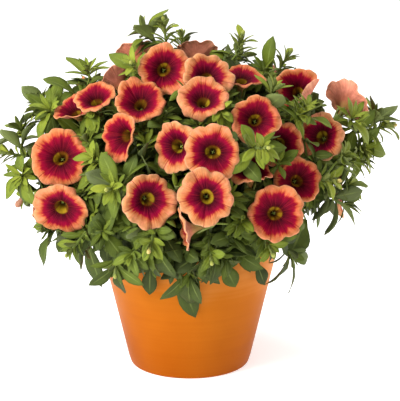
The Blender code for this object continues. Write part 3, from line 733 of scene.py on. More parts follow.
# Petals that have folded over: the side they lie on, where the fold starts and ends as shares of
# the radius, and its angle, which is positive towards the throat
Fold = namedtuple("Fold", "side start end angle")
FOLDS = {
    "bloom_right_top": Fold((0.8, 0, -0.6), 0.30, 0.62, 125),
    "bloom_brow_right": Fold((-0.2, 0, -1), 0.42, 0.8, -70),
    "bloom_shade_left": Fold((1, 0, -0.1), 0.3, 0.8, 50),
    "bloom_top_edge": Fold((0.1, 0, -1), 0.3, 0.7, 45),
    "bloom_left_shoulder": Fold((0.3, 0, -1), 0.35, 0.8, 60),
    "bloom_mid_right": Fold((0.7, 0, 0.7), 0.5, 0.9, -55),
    "bloom_left_low": Fold((0.1, 0, 1), 0.5, 0.95, 42),
    "bloom_right": Fold((0.4, 0, 0.9), 0.5, 0.95, 36),
    "bloom_right_brow": Fold((0.9, 0, 0.5), 0.55, 0.95, -44),
}
# Waves of the limb: height as a share of the radius, count round the rim, and how late they rise
RUFFLES = ((0.034, 10, 3), (0.026, 3, 2), (0.014, 16, 3))
# Fine waves of the rim itself: count and height
RIM_WAVES = ((7, 0.012), (13, 0.010), (19, 0.008))


def round_turn(angle):
    """The angle between minus and plus half a turn."""
    return (angle + math.pi) % (2 * math.pi) - math.pi


def scallops(angle, draw):
    """How far the rim reaches: two round scallops a lobe, unequal, with a cleft between lobes."""
    reach = np.zeros_like(angle)
    apart = math.radians(draw.uniform(11.5, 15.5))
    for lobe in range(LOBES):
        middle = 2 * math.pi * lobe / LOBES + draw.uniform(-0.09, 0.09)
        size = 1 + draw.uniform(-0.09, 0.06)
        for side in (-1, 1):
            turn = angle - middle - side * apart * draw.uniform(0.9, 1.1)
            across = SCALLOP_CENTRE * np.sin(turn)
            chord = np.sqrt(np.maximum(SCALLOP_RADIUS**2 - across**2, 0))
            out = np.where(np.cos(turn) > 0.6, SCALLOP_CENTRE * np.cos(turn) + chord, 0)
            reach = np.maximum(reach, out * size * draw.uniform(0.97, 1.02))
    for waves, height in RIM_WAVES:
        reach = reach + height * np.sin(waves * angle + draw.uniform(*PHASES))
    return reach / reach.max()


def lobe_tilts(angle, draw):
    """How far each lobe leans out of the bloom's plane, blended from lobe to lobe."""
    total, weights = np.zeros_like(angle), np.zeros_like(angle)
    for lobe in range(LOBES):
        weight = np.exp(-((round_turn(angle - 2 * math.pi * lobe / LOBES) / 0.45) ** 2))
        total += weight * draw.uniform(-0.20, 0.12)
        weights += weight
    return total / weights


def fold_over(points, radius, fold, place):
    """Bends the part of a bloom beyond a line across it, about that line."""
    way = place.to_3x3().inverted() @ Vector(fold.side)
    way = np.array(Vector((way.x, way.y, 0)).normalized())
    reach = points @ way
    start, width = fold.start * radius, (fold.end - fold.start) * radius
    angle = math.radians(fold.angle)
    beyond = np.maximum(reach - start, 0)
    turned = np.minimum(beyond / width, 1) * angle
    rest = np.maximum(beyond - width, 0)
    along = width / angle * np.sin(turned) + rest * np.cos(turned)
    rise = width / angle * (1 - np.cos(turned)) + rest * np.sin(turned)
    moved = points + (along - beyond)[..., None] * way
    moved[..., 2] += rise
    return moved


def bloom_surface(bloom, place, draw):
    """Inner face of a bloom in its own frame, as rows of points from the tube's foot to the rim."""
    radius = bloom.width * MM / 2
    angle = np.linspace(0, 2 * math.pi, RIM_STEPS, endpoint=False)
    rim, tilts = scallops(angle, draw), lobe_tilts(angle, draw)
    throat_turn, throat_pull = draw.uniform(*PHASES), draw.uniform(0.04, 0.12)
    throat = 1 + throat_pull * np.cos(2 * (angle - throat_turn))
    start_r, start_z = FUNNEL[-1]
    rows = []
    for r, z in FUNNEL[:-1]:
        out = r * MM * (1 + (throat - 1) * min(1, z / 11))
        level = np.full_like(angle, z * MM)
        rows.append(np.stack([out * np.cos(angle), out * np.sin(angle), level], 1))
    end_z = TUBE_LENGTH + LIMB_DEPTH + bloom.cup * MM
    curl, curl_turn = draw.uniform(-0.10, 0.08), draw.uniform(0, math.pi)
    phases = [draw.uniform(*PHASES) for _ in range(len(RUFFLES) + 1)]
    rib = np.abs((angle + math.pi / LOBES) % (2 * math.pi / LOBES) - math.pi / LOBES)
    for k in range(LIMB_ROWS):
        share = k / (LIMB_ROWS - 1)
        spread = start_r * MM * throat * (1 - share) + radius * share
        blend = share**1.4
        out = spread * (1 - blend + blend * rim)
        level = start_z * MM + (end_z - start_z * MM) * (1 - (1 - share) ** 2.2)
        ruffle = 0.06 * np.abs(np.cos(LOBES * angle / 2)) * share**1.5
        for (height, waves, power), phase in zip(RUFFLES, phases):
            ruffle += height * np.sin(waves * angle + phase) * share**power
        groove = np.exp(-((rib / 0.08) ** 2)) * 0.045 * math.sin(math.pi * min(1, share * 0.95))
        x, y = out * np.cos(angle), out * np.sin(angle)
        bend = curl * (x * math.cos(curl_turn) + y * math.sin(curl_turn)) ** 2 / radius
        edge = max(0.0, share - 0.8) / 0.2
        roll = 0.06 * (1 + 0.8 * np.sin(2 * angle + phases[-1])) * edge * edge
        z = level + radius * (ruffle - groove + tilts * share**1.6 - roll) + bend
        rows.append(np.stack([x, y, z], 1))
    surface = np.array(rows)
    if bloom.name in FOLDS:
        limb = surface[len(FUNNEL) - 1:]
        surface[len(FUNNEL) - 1:] = fold_over(limb, radius, FOLDS[bloom.name], place)
    start, last = start_r * MM, LIMB_ROWS - 1
    spread = [start + (radius - start) * k / last for k in range(LIMB_ROWS)]
    reach = np.array([r * MM for r, _ in FUNNEL[:-1]] + spread) / radius
    depth = np.array([1 - z / FUNNEL[-1][1] for _, z in FUNNEL[:-1]] + [0.0] * LIMB_ROWS)
    walls = np.stack([np.outer(reach, np.cos(angle)), np.outer(reach, np.sin(angle)),
                      np.outer(depth, np.ones_like(angle))], 2)
    return surface, walls


def add_bloom(mesh, bloom, draw):
    """A bloom's thin double skin, with its stigma and anthers deep in the throat."""
    place = bloom_frame(bloom)
    inner, walls = bloom_surface(bloom, place, draw)
    rows, columns = inner.shape[:2]
    along = np.gradient(inner, axis=0)
    around = np.roll(inner, -1, axis=1) - np.roll(inner, 1, axis=1)
    normal = np.cross(around, along)
    normal /= np.maximum(np.linalg.norm(normal, axis=2, keepdims=True), 1e-12)
    outer = inner + normal * PETAL_SKIN
    matrix = np.array(place)
    points = np.concatenate([inner.reshape(-1, 3), outer.reshape(-1, 3)])
    points = points @ matrix[:3, :3].T + matrix[:3, 3]
    vectors = np.concatenate([walls.reshape(-1, 3), walls.reshape(-1, 3) - (0, 0, 2)])
    count = rows * columns
    faces = turned_over(wrap_faces(rows, columns))
    faces += [tuple(n + count for n in face) for face in wrap_faces(rows, columns)]
    last = (rows - 1) * columns
    for c in range(columns):
        d = (c + 1) % columns
        faces.append((last + c, count + last + c, count + last + d, last + d))
    faces.append(tuple(range(columns)))
    faces.append(tuple(count + c for c in reversed(range(columns))))
    mesh.add(points, faces, PETAL_LOOK, vectors, draw.random())
    style = [place @ Vector((0, 0, z * MM)) for z in (2, 5, 8)]
    add_tube(mesh, style, [0.25 * MM, 0.25 * MM, 0.3 * MM], 5, STEM_LOOK, 0.5)
    add_ball(mesh, place @ Vector((0, 0, 8.3 * MM)), 0.7 * MM, STEM_LOOK, 0.9)
    for k in range(4):
        turn = math.pi / 2 * k + draw.uniform(0, 1)
        spot = Vector((math.cos(turn), math.sin(turn), 7.4 + 0.3 * k)) * MM
        add_ball(mesh, place @ spot, 0.35 * MM, BUD_LOOK, 0.8)


# Leaves

BLADE_WIDTHS = ((0, 0.15), (0.1, 0.24), (0.22, 0.5), (0.36, 0.8), (0.52, 1.0), (0.66, 0.98),
                (0.78, 0.8), (0.88, 0.54), (0.95, 0.28), (1, 0.04))
BLADE_SKIN = 0.3 * MM
FINE, MEDIUM, COARSE = (8, 5), (7, 3), (5, 3)


def blade_faces(rows, columns):
    """Faces of a closed blade: its upper grid, its lower grid, and the strips that join them."""
    faces = []
    count = rows * columns
    for r in range(rows - 1):
        for c in range(columns - 1):
            a = r * columns + c
            faces.append((a, a + 1, a + columns + 1, a + columns))
            faces.append((count + a, count + a + columns, count + a + columns + 1, count + a + 1))
        left, right = r * columns, (r + 1) * columns - 1
        faces.append((left, left + columns, count + left + columns, count + left))
        faces.append((right, count + right, count + right + columns, right + columns))
    top = (rows - 1) * columns
    foot_row = tuple(range(columns))
    tip_row = tuple(range(top, top + columns))
    faces.append(foot_row[::-1] + tuple(count + n for n in foot_row))
    faces.append(tip_row + tuple(count + n for n in tip_row[::-1]))
    return faces


BLADE_FACES = {grid: blade_faces(*grid) for grid in (FINE, MEDIUM, COARSE)}


def add_leaf(mesh, leaf, young, draw, grid=FINE):
    """A blade folded along its sunken rib, arched, a little twisted, and waved along its edges."""
    rows, columns = grid
    v = np.linspace(0, 1, rows) ** 0.9
    u = np.linspace(-1, 1, columns)
    half = np.interp(v, *zip(*BLADE_WIDTHS)) * leaf.half_width * 1.08
    half = np.maximum(half, 0.45 * MM * (1 - v))
    turn = leaf.arch * v
    forward = leaf.length * np.sin(turn) / leaf.arch
    down = leaf.length * (1 - np.cos(turn)) / leaf.arch
    fold, twist = draw.uniform(0.12, 0.45), draw.uniform(-0.4, 0.4)
    wave, phase = draw.uniform(0.0, 0.08), draw.uniform(*PHASES)
    a, f, s = (np.array(vector) for vector in (leaf.along, leaf.face, leaf.along.cross(leaf.face)))
    spine = np.array(leaf.root) + forward[:, None] * a - down[:, None] * f
    normal = np.cos(turn)[:, None] * f + np.sin(turn)[:, None] * a
    angle = (twist * v)[:, None]
    across = np.cos(angle) * s + np.sin(angle) * normal
    upward = np.cos(angle) * normal - np.sin(angle) * s
    outward = np.abs(u)[None, :]
    lift = fold * outward**1.4 * half[:, None] * np.sin(math.pi * np.clip(v * 1.1, 0, 1))[:, None]
    lift = lift + wave * leaf.half_width * np.sin(9 * v[:, None] + phase + 2 * np.sign(u)) * outward
    top = spine[:, None, :] + (u[None, :] * half[:, None])[:, :, None] * across[:, None, :]
    top = top + lift[:, :, None] * upward[:, None, :]
    thin = BLADE_SKIN * (1 - 0.6 * outward) * np.ones((rows, 1))
    thin[:, columns // 2] += 0.35 * MM * (1 - v)
    under = top - thin[:, :, None] * upward[:, None, :]
    grid_u, grid_v = np.meshgrid(u, v)
    upper = np.stack([grid_u, grid_v, np.full_like(grid_u, young)], axis=2).reshape(-1, 3)
    points = np.concatenate([top.reshape(-1, 3), under.reshape(-1, 3)])
    vectors = np.concatenate([upper, upper + (0, 0, 2)])
    mesh.add(points, BLADE_FACES[grid], LEAF_LOOK, vectors, draw.random())


# Cups and buds

RIB_SIDES = 10
# Radius and height of a cup's outer side, in mm
CALYX_PROFILE = ((0.7, -2.4), (1.3, -1.6), (1.9, -0.6), (2.1, 0.8), (2.15, 2.4))
# Each row is a share of a bud's length and the radius there, as a share of the length too
BUD_PROFILE = ((0.0, 0.06), (0.15, 0.10), (0.4, 0.11), (0.62, 0.15), (0.8, 0.18), (0.92, 0.13),
               (1.0, 0.03))
BUD_TWIST = 1.1


def add_sepals(mesh, foot, axis, x, y, ring, length, half_width, draw):
    """Five narrow green blades that stand round a bloom's tube or a bud."""
    for k in range(LOBES):
        turn = 2 * math.pi * (k + 0.5) / LOBES
        out = x * math.cos(turn) + y * math.sin(turn)
        opening = draw.uniform(0.15, 0.5)
        along = axis * math.cos(opening) + out * math.sin(opening)
        arch = -draw.uniform(0.15, 0.5)
        reach = length * draw.uniform(0.85, 1.1)
        face = square_to(along, -out)
        sepal = Leaf(foot + out * ring, along, face, reach, half_width, arch, LEAF_ROWS)
        add_leaf(mesh, sepal, 0.8, draw, COARSE)


def add_calyx(mesh, bloom, draw):
    """The ribbed green cup under a bloom."""
    place = bloom_frame(bloom)
    inside = [(radius - 0.45, height) for radius, height in CALYX_PROFILE[:1:-1]]
    sides = (*CALYX_PROFILE, *inside)
    points, vectors = [], []
    for radius, height in sides:
        for k, (c, s) in enumerate(even_turns(RIB_SIDES)):
            rib = radius + 0.12 * (k % 2 == 0)
            points.append(place @ (Vector((rib * c, rib * s, height)) * MM))
            vectors.append((c, s, height / 10))
    mesh.add(points, tube_faces(len(sides), RIB_SIDES), STEM_LOOK, vectors, 0.6)
    x, y, axis = (place.col[k].to_3d() for k in range(3))
    foot = place @ Vector((0, 0, 1.4 * MM))
    add_sepals(mesh, foot, axis, x, y, 1.9 * MM, 8.5 * MM, 0.95 * MM, draw)


def add_bud(mesh, foot, axis, length, tint, draw):
    """A long closed bud, ribbed and slightly twisted, in its sepals."""
    x = axis.orthogonal().normalized()
    y = axis.cross(x)
    points, vectors = [], []
    for share, radius in BUD_PROFILE:
        for k, (c, s) in enumerate(even_turns(RIB_SIDES, share * BUD_TWIST)):
            rib = radius * (1.12 if k % 2 == 0 else 0.9) * length
            points.append(foot + axis * (length * share) + (x * c + y * s) * rib)
            vectors.append((c, s, share))
    mesh.add(points, tube_faces(len(BUD_PROFILE), RIB_SIDES), BUD_LOOK, vectors, tint)
    add_sepals(mesh, foot, axis, x, y, 0.4 * MM, length * 0.7, 0.7 * MM, draw)


# Leaves and sprigs too small and too many for the solids

# The leaves of a shoot: how many at its tip and along it, where they begin, their grid of points,
# and how much darker they are made, from 0 to 1, partly for their age and partly as painted shade
Spray = namedtuple("Spray", "owner path tip_leaves side_leaves first grid old")
SPRAY_CLEARANCE = 0.2 * MM
SPRAY_NUDGES = NUDGES[:6]


def small_leaf(spray, k, phase, draw):
    """One leaf of a spray, narrow and upright in its tip, broad and spread below, and how young it is
    from 0 to 1."""
    if k < spray.tip_leaves:
        inward = k / spray.tip_leaves
        share = 0.9 + 0.098 * inward
        opening = math.radians(draw.uniform(48, 80) - 44 * inward)
        length = draw.uniform(12, 19) * (1 - 0.45 * inward) * MM
        half_width = length * draw.uniform(0.10, 0.18)
        young = 0.6 + 0.4 * inward
    else:
        share = spray.first + (0.93 - spray.first) * draw.random()
        opening = math.radians(draw.uniform(45, 88))
        length = draw.uniform(15, 25) * MM
        half_width = length * draw.uniform(0.18, 0.25)
        young = share * 0.5
    arch = draw.uniform(0.1, 0.9)
    spin = phase + k * GOLDEN_ANGLE
    return leaf_on(spray.path, share, spin, opening, length, half_width, arch, LEAF_ROWS), young


def fill_leaves(room, sprays, draw):
    """The sprays' leaves, where there is room between the blooms."""
    leaves = []
    for spray in sprays:
        phase = draw.uniform(*PHASES)
        for k in range(spray.tip_leaves + spray.side_leaves):
            leaf, young = small_leaf(spray, k, phase, draw)
            for turn, _, size in SPRAY_NUDGES:
                along = Matrix.Rotation(math.radians(turn), 3, leaf.face) @ leaf.along
                length, half_width = leaf.length * size, leaf.half_width * size
                trial = leaf._replace(along=along, length=length, half_width=half_width)
                if room.clear(spray.owner, blade(trial, SPRAY_CLEARANCE)):
                    leaves.append((spray.owner, trial, young * (1 - spray.old), spray.grid))
                    break
    return leaves


# Tips of the sprigs that stand out between the blooms or beyond them
CLEAR_TIPS = (
    (76, 27, 1.20), (92, 22, 1.30), (84, 14, 1.16), (66, 17, 1.12),
    (-81, 53, 1.08), (-90, 20, 1.17), (-78, 33, 1.08), (-96, 30, 1.12),
    (-24, 52, 1.07), (60, 38, 1.08), (-70, 8, 1.14),
    (52, 50, 1.05), (70, -4, 1.08), (-60, -14, 1.06),
)


def spread_tips(count, heights, shares, draw):
    """Places spread evenly over the dome, drawn in at the lower right, where foliage is thin."""
    tips = []
    for k in range(count):
        height = heights[0] + (heights[1] - heights[0]) * (k + 0.5) / count
        elevation = math.degrees(math.asin(height))
        azimuth = math.degrees((k * GOLDEN_ANGLE) % (2 * math.pi)) - 180
        thin = 0.8 if 35 < azimuth < 125 and elevation < -4 else 1.0
        tips.append(on_dome(azimuth, elevation, draw.uniform(*shares) * thin))
    return tips


# Shares of the way along a stem where a sprig may start, and how many of the nearest are tried
SPRIG_ROOTS = (0.35, 0.45, 0.55, 0.65, 0.75, 0.85, 0.92)
SPRIG_TRIALS = 10
SPRIG_SHORTEST = 8 * MM
SPRIG_RADIUS = 0.6 * MM
SPRIG_BENDS = 4


def sprigs(room, stems, taken, tips, spacing, rise=0.4):
    """Short side shoots to the given tips, from the nearest stems, where nothing stands yet."""
    made = []
    for tip in tips:
        if any((tip - place).length < reach for place, reach in taken):
            continue
        for distance, name, root, run in roots_near(tip, stems, SPRIG_ROOTS)[:SPRIG_TRIALS]:
            out = ((tip - DOME_CENTRE).normalized() + UP * rise).normalized()
            path = curve_path(root, run * distance * 0.4, tip, out * distance * 0.4, SPRIG_BENDS)
            if distance > SPRIG_SHORTEST and room.clear(name, sleeve(path, 0.8 * MM)):
                room.add(name, sleeve(path, SPRIG_RADIUS))
                taken.append((tip, spacing))
                made.append((name, path))
                break
    return made


# Layers of sprigs: how many are tried, the sines of their highest and lowest elevation, their least
# and greatest share of the way out to the dome, and their spacing
OUTER_LAYER = (210, (0.98, -0.5), (0.82, 0.97), 11 * MM)
INNER_LAYER = (200, (0.95, -0.6), (0.52, 0.76), 12 * MM)
SKIRT_LAYER = (80, (-0.35, -0.72), (0.72, 0.92), 8 * MM)


def spread_sprigs(room, stems, taken, layer, draw):
    """One layer of sprigs."""
    *spread, spacing = layer
    return sprigs(room, stems, taken, spread_tips(*spread, draw), spacing)


# Materials


def srgb(red, green, blue):
    """Linear colour from the usual 0 to 255 values."""
    linear = []
    for value in (red, green, blue):
        value /= 255
        linear.append(value / 12.92 if value <= 0.04045 else ((value + 0.055) / 1.055) ** 2.4)
    return (*linear, 1)


class Nodes:
    """A new material and its node tree, with short calls for the nodes that the looks share."""

    def __init__(self, name):
        self.material = bpy.data.materials.new(name)
        self.material.use_nodes = True
        self.tree = self.material.node_tree
        self.shader = self.tree.nodes["Principled BSDF"]

    def put(self, socket, value):
        if isinstance(value, bpy.types.NodeSocket):
            self.tree.links.new(value, socket)
        elif value is not None:
            socket.default_value = value

    def math(self, operation, a, b=None):
        made = self.tree.nodes.new("ShaderNodeMath")
        made.operation = operation
        for socket, value in zip(made.inputs, (a, b)):
            self.put(socket, value)
        return made.outputs[0]

    def times(self, a, b):
        return self.math("MULTIPLY", a, b)

    def rest(self, value):
        """1 minus the value."""
        return self.math("SUBTRACT", 1.0, value)

    def size(self, value):
        return self.math("ABSOLUTE", value)

    def sum(self, value, *parts):
        """The value plus each (other value, share of it)."""
        for other, share in parts:
            value = self.math("ADD", value, self.times(other, share))
        return value

    def vector(self, operation, a, b=None, output=0):
        made = self.tree.nodes.new("ShaderNodeVectorMath")
        made.operation = operation
        self.put(made.inputs[0], a)
        self.put(made.inputs[1], b)
        return made.outputs[output]

    def step(self, value, low, high):
        """0 below low, 1 above high, smooth between."""
        made = self.tree.nodes.new("ShaderNodeMapRange")
        made.interpolation_type = "SMOOTHSTEP"
        for socket, part in zip(made.inputs[:3], (value, low, high)):
            self.put(socket, part)
        return made.outputs[0]

    def ramp(self, value, stops):
        made = self.tree.nodes.new("ShaderNodeValToRGB")
        elements = made.color_ramp.elements
        while len(elements) < len(stops):
            elements.new(0.5)
        for element, (position, color) in zip(elements, stops):
            element.position = position
            element.color = srgb(*color)
        self.put(made.inputs[0], value)
        return made.outputs[0]

    def mix(self, factor, a, b, blend="MIX"):
        made = self.tree.nodes.new("ShaderNodeMix")
        made.data_type = "RGBA"
        made.blend_type = blend
        self.put(made.inputs[0], factor)
        self.put(made.inputs[6], a)
        self.put(made.inputs[7], b)
        return made.outputs[2]

    def tone(self, color, mask, share, shade, blend="MIX"):
        """The color, with a share of a shade where the mask is 1."""
        return self.mix(self.times(mask, share), color, srgb(*shade), blend)

    def noise(self, vector, scale, detail=2, roughness=0.5):
        """Noise from -0.5 to 0.5."""
        made = self.tree.nodes.new("ShaderNodeTexNoise")
        self.put(made.inputs["Vector"], vector)
        made.inputs["Scale"].default_value = scale
        made.inputs["Detail"].default_value = detail
        made.inputs["Roughness"].default_value = roughness
        return self.math("SUBTRACT", made.outputs[0], 0.5)

    def attribute(self, name, output):
        made = self.tree.nodes.new("ShaderNodeAttribute")
        made.attribute_name = name
        return made.outputs[output]

    def place(self):
        return self.attribute("place", 1)

    def tint(self):
        return self.attribute("tint", 2)

    def object_place(self):
        return self.tree.nodes.new("ShaderNodeTexCoord").outputs[3]

    def split(self, vector):
        made = self.tree.nodes.new("ShaderNodeSeparateXYZ")
        self.put(made.inputs[0], vector)
        return made.outputs

    def join(self, x, y, z):
        made = self.tree.nodes.new("ShaderNodeCombineXYZ")
        for socket, value in zip(made.inputs, (x, y, z)):
            self.put(socket, value)
        return made.outputs[0]

    def bump(self, height, strength, distance):
        made = self.tree.nodes.new("ShaderNodeBump")
        made.inputs["Strength"].default_value = strength
        made.inputs["Distance"].default_value = distance
        self.put(made.inputs["Height"], height)
        self.put(self.shader.inputs["Normal"], made.outputs[0])

    def finish(self, color, roughness, specular, sheen=0.0):
        sockets = self.shader.inputs
        self.put(sockets["Base Color"], color)
        self.put(sockets["Roughness"], roughness)
        sockets["Specular IOR Level"].default_value = specular
        sockets["Sheen Weight"].default_value = sheen
        sockets["Sheen Roughness"].default_value = 0.5
        return self.material


def petal_material():
    """Peach lobes round a crimson eye with a feathered edge, five dark veins, an amber throat.
    Painted shade darkens the throat's foot and the lobes' folds, and a painted lit crescent
    brightens one side of the throat's wall.
    """
    n = Nodes("petals")
    tint = n.tint()
    x, y, z = n.split(n.place())
    flat = n.join(x, y, 0.0)
    reach = n.vector("LENGTH", flat, output=1)
    wx, wy, _ = n.split(n.vector("NORMALIZE", flat))
    around = n.join(wx, wy, n.times(tint, 37.0))
    fine = n.noise(around, 15.0, 4, 0.65)
    broad = n.noise(around, 2.6, 1)
    blotch = n.noise(n.join(x, y, n.times(tint, 11.0)), 5.0, 3)
    fading = n.rest(n.step(reach, 0.78, 1.0))
    near_edge = n.times(n.step(reach, 0.38, 0.62), fading)
    feather = n.sum(0.0, (fine, 0.42), (broad, 0.34), (blotch, 0.10))
    eye = n.sum(reach, (n.times(feather, near_edge), 1.0))
    angle = n.math("ARCTAN2", y, x)
    seam = n.size(n.math("SINE", n.times(angle, LOBES / 2)))
    eye = n.sum(eye, (n.times(n.math("SUBTRACT", 0.5, seam), near_edge), -0.05))
    eye = n.sum(eye, (n.times(n.math("SUBTRACT", tint, 0.5), near_edge), 0.14))
    # Partly the throat's own amber colour and partly painted shade: the throat's wall darkens to near
    # black towards the tube's foot.
    face = n.ramp(eye, (
        (0.00, (44, 36, 8)), (0.10, (70, 56, 8)), (0.17, (98, 78, 10)), (0.215, (92, 58, 10)),
        (0.245, (60, 8, 10)), (0.29, (56, 0, 18)), (0.42, (88, 0, 35)), (0.54, (122, 0, 45)),
        (0.62, (136, 2, 47)), (0.665, (160, 44, 46)), (0.72, (184, 98, 62)), (0.82, (194, 128, 84)),
        (0.94, (198, 140, 97)), (0.985, (203, 152, 116)), (1.0, (212, 168, 136)),
    ))
    # Painted light: a brighter yellow crescent on one side of the throat's wall, as if lit there.
    lit = n.noise(n.join(wx, wy, n.times(tint, 53.0)), 0.9, 0)
    ring = n.times(n.step(reach, 0.07, 0.16), n.rest(n.step(reach, 0.2, 0.25)))
    face = n.mix(n.times(ring, n.step(lit, -0.02, 0.10)), face, srgb(146, 130, 26))
    from_vein = n.times(seam, n.times(reach, 0.4))
    vein = n.rest(n.step(from_vein, 0.003, 0.016))
    vein = n.times(vein, n.times(n.step(reach, 0.42, 0.6), 0.8))
    face = n.mix(vein, face, srgb(132, 30, 40))
    threads = n.noise(around, 34.0, 2, 0.7)
    lines = n.times(n.step(threads, 0.03, 0.16), n.rest(n.step(reach, 0.6, 1.1)))
    face = n.tone(face, lines, 0.6, (158, 36, 46))
    face = n.tone(face, n.step(threads, -0.02, -0.2), 0.3, (250, 200, 160), "SOFT_LIGHT")
    back = n.ramp(reach, (
        (0.0, (160, 150, 80)), (0.16, (190, 156, 96)), (0.26, (212, 140, 110)),
        (0.5, (222, 150, 130)), (0.75, (236, 166, 142)), (1.0, (248, 196, 168)),
    ))
    back = n.tone(back, n.step(fine, -0.02, 0.12), 0.35, (190, 106, 102))
    face = n.mix(n.math("LESS_THAN", z, -0.5), face, back)
    pinker = n.times(n.step(reach, 0.6, 0.8), n.step(n.sum(blotch, (broad, 1.0)), -0.05, 0.3))
    face = n.tone(face, pinker, 0.45, (226, 128, 104))
    shade = n.mix(tint, srgb(255, 232, 220), srgb(255, 255, 250))
    face = n.mix(1.0, face, shade, "MULTIPLY")
    # Partly random tone and partly painted shade: darker patches that stand in for the shading of the
    # lobes' folds.
    tone_and_fold_shade = n.ramp(n.sum(0.5, (blotch, 1.0)), ((0.3, (218, 208, 202)), (0.7, (255, 255, 255))))
    face = n.mix(1.0, face, tone_and_fold_shade, "MULTIPLY")
    n.bump(n.sum(0.0, (fine, 0.9), (threads, 0.5), (vein, -1.0)), 0.7, 0.0006)
    return n.finish(face, 0.6, specular=0.05)


def leaf_material():
    """Soft green leaves: yellow-green when young, dark when older and with painted shade deep inside
    and low on the plant, greyer below, with a pale rib.
    """
    n = Nodes("leaves")
    tint = n.tint()
    u, v, young = n.split(n.place())
    under = n.math("GREATER_THAN", young, 1.5)
    young = n.sum(young, (under, -2.0))
    mottle = n.noise(n.object_place(), 160.0, 3)
    root_glow = n.times(n.math("SUBTRACT", 0.6, v), young)
    youth_and_shade = n.sum(young, (n.math("SUBTRACT", tint, 0.5), 0.26), (mottle, 0.3), (root_glow, 0.4))
    # The ramp's dark end is partly the leaves' age and partly painted shade deep inside and low on
    # the plant.
    top = n.ramp(youth_and_shade, (
        (0.0, (46, 52, 28)), (0.25, (64, 76, 30)), (0.5, (90, 104, 32)), (0.75, (116, 128, 38)),
        (1.0, (142, 150, 50)),
    ))
    below = n.mix(0.5, top, srgb(112, 120, 84))
    color = n.mix(under, top, below)
    rib = n.rest(n.step(n.size(u), 0.02, 0.14))
    rib = n.times(rib, n.rest(n.step(v, 0.5, 1.0)))
    color = n.tone(color, rib, 0.4, (136, 150, 78))
    slant = n.sum(n.times(v, 44.0), (n.size(u), -9.0))
    side_vein = n.math("POWER", n.size(n.math("SINE", slant)), 6.0)
    color = n.tone(color, side_vein, 0.10, (36, 50, 26))
    edge = n.step(n.size(u), 0.8, 1.0)
    color = n.tone(color, edge, 0.25, (44, 58, 28))
    n.bump(n.sum(0.0, (side_vein, -0.3), (mottle, 0.9), (rib, -1.0)), 0.5, 0.0003)
    return n.finish(color, 0.6, specular=0.13)


def stem_material():
    """Pale downy green stalks and cups."""
    n = Nodes("stems")
    grain = n.noise(n.vector("MULTIPLY", n.place(), (1.0, 1.0, 3.0)), 6.0, 3)
    color = n.ramp(n.sum(n.times(n.tint(), 0.8), (grain, 0.4)), (
        (0.0, (62, 68, 30)), (0.4, (96, 112, 38)), (0.8, (130, 146, 50)), (1.0, (152, 164, 76)),
    ))
    n.bump(grain, 0.4, 0.0003)
    return n.finish(color, 0.6, specular=0.25, sheen=0.12)


def bud_material():
    """Closed buds, from green through pale yellow to the brown of a withered one."""
    n = Nodes("buds")
    tint = n.tint()
    share = n.split(n.place())[2]
    grain = n.noise(n.place(), 5.0, 2)
    green = n.ramp(n.sum(share, (grain, 0.3)), (
        (0.0, (96, 112, 44)), (0.6, (122, 136, 56)), (1.0, (150, 150, 70)),
    ))
    pale = n.ramp(n.sum(share, (grain, 0.4)), (
        (0.0, (130, 140, 62)), (0.5, (176, 168, 88)), (1.0, (196, 170, 104)),
    ))
    color = n.mix(n.step(tint, 0.4, 0.7), green, pale)
    color = n.mix(n.math("GREATER_THAN", tint, 0.95), color, srgb(156, 108, 84))
    n.bump(grain, 0.4, 0.0004)
    return n.finish(color, 0.6, specular=0.25, sheen=0.1)


def glaze_material():
    """Satin orange glaze, with faint level throwing lines, soft clouds of tone, and painted shade
    that darkens it towards the foot.
    """
    n = Nodes("pot_glaze")
    where = n.object_place()
    clouds = n.noise(where, 14.0, 3)
    lines = n.noise(n.vector("MULTIPLY", where, (5.0, 5.0, 420.0)), 1.0, 4)
    fine = n.noise(where, 900.0, 2)
    height = n.split(where)[2]
    # Painted shade: the glaze is made darker towards the bottom of the pot.
    low = n.rest(n.step(height, 0.0, 0.085))
    color = n.ramp(n.sum(0.55, (clouds, 0.5), (lines, 0.12), (low, -0.4)), (
        (0.15, (148, 72, 0)), (0.42, (172, 94, 14)), (0.62, (196, 124, 56)),
    ))
    n.bump(n.sum(0.0, (lines, 0.8), (fine, 0.15)), 0.04, 0.0005)
    return n.finish(color, n.sum(0.45, (lines, 0.2)), specular=0.05)


def soil_material():
    """Dark crumbly soil with pale grains."""
    n = Nodes("potting_soil")
    where = n.object_place()
    grain = n.noise(where, 420.0, 4, 0.7)
    clods = n.noise(where, 90.0, 3)
    color = n.ramp(n.sum(0.5, (grain, 0.6), (clods, 0.4)), (
        (0.3, (22, 16, 12)), (0.5, (46, 33, 24)), (0.7, (78, 58, 42)),
    ))
    color = n.mix(n.step(n.tint(), 0.8, 0.9), color, srgb(206, 200, 186))
    n.bump(grain, 0.8, 0.001)
    return n.finish(color, 0.95, specular=0.2)


# Pot and soil

POT_STEPS = 128
DRAIN_STEPS = 40
SOIL_RINGS, SOIL_STEPS = 40, 110
CRUMBS = 420
PALE_CRUMBS = 0.16


def turned_points(profile, steps):
    """Points of a profile of radii and heights, turned about +Z in even steps."""
    points = []
    for radius, height in profile:
        points += [(radius * c, radius * s, height) for c, s in even_turns(steps)]
    return points


def rounded(radius, height, size, start, end, steps=5):
    """The part of a profile that rounds an edge, between two angles in degrees."""
    turns = [math.radians(start + (end - start) * k / steps) for k in range(steps + 1)]
    return [(radius + size * math.cos(t), height + size * math.sin(t)) for t in turns]


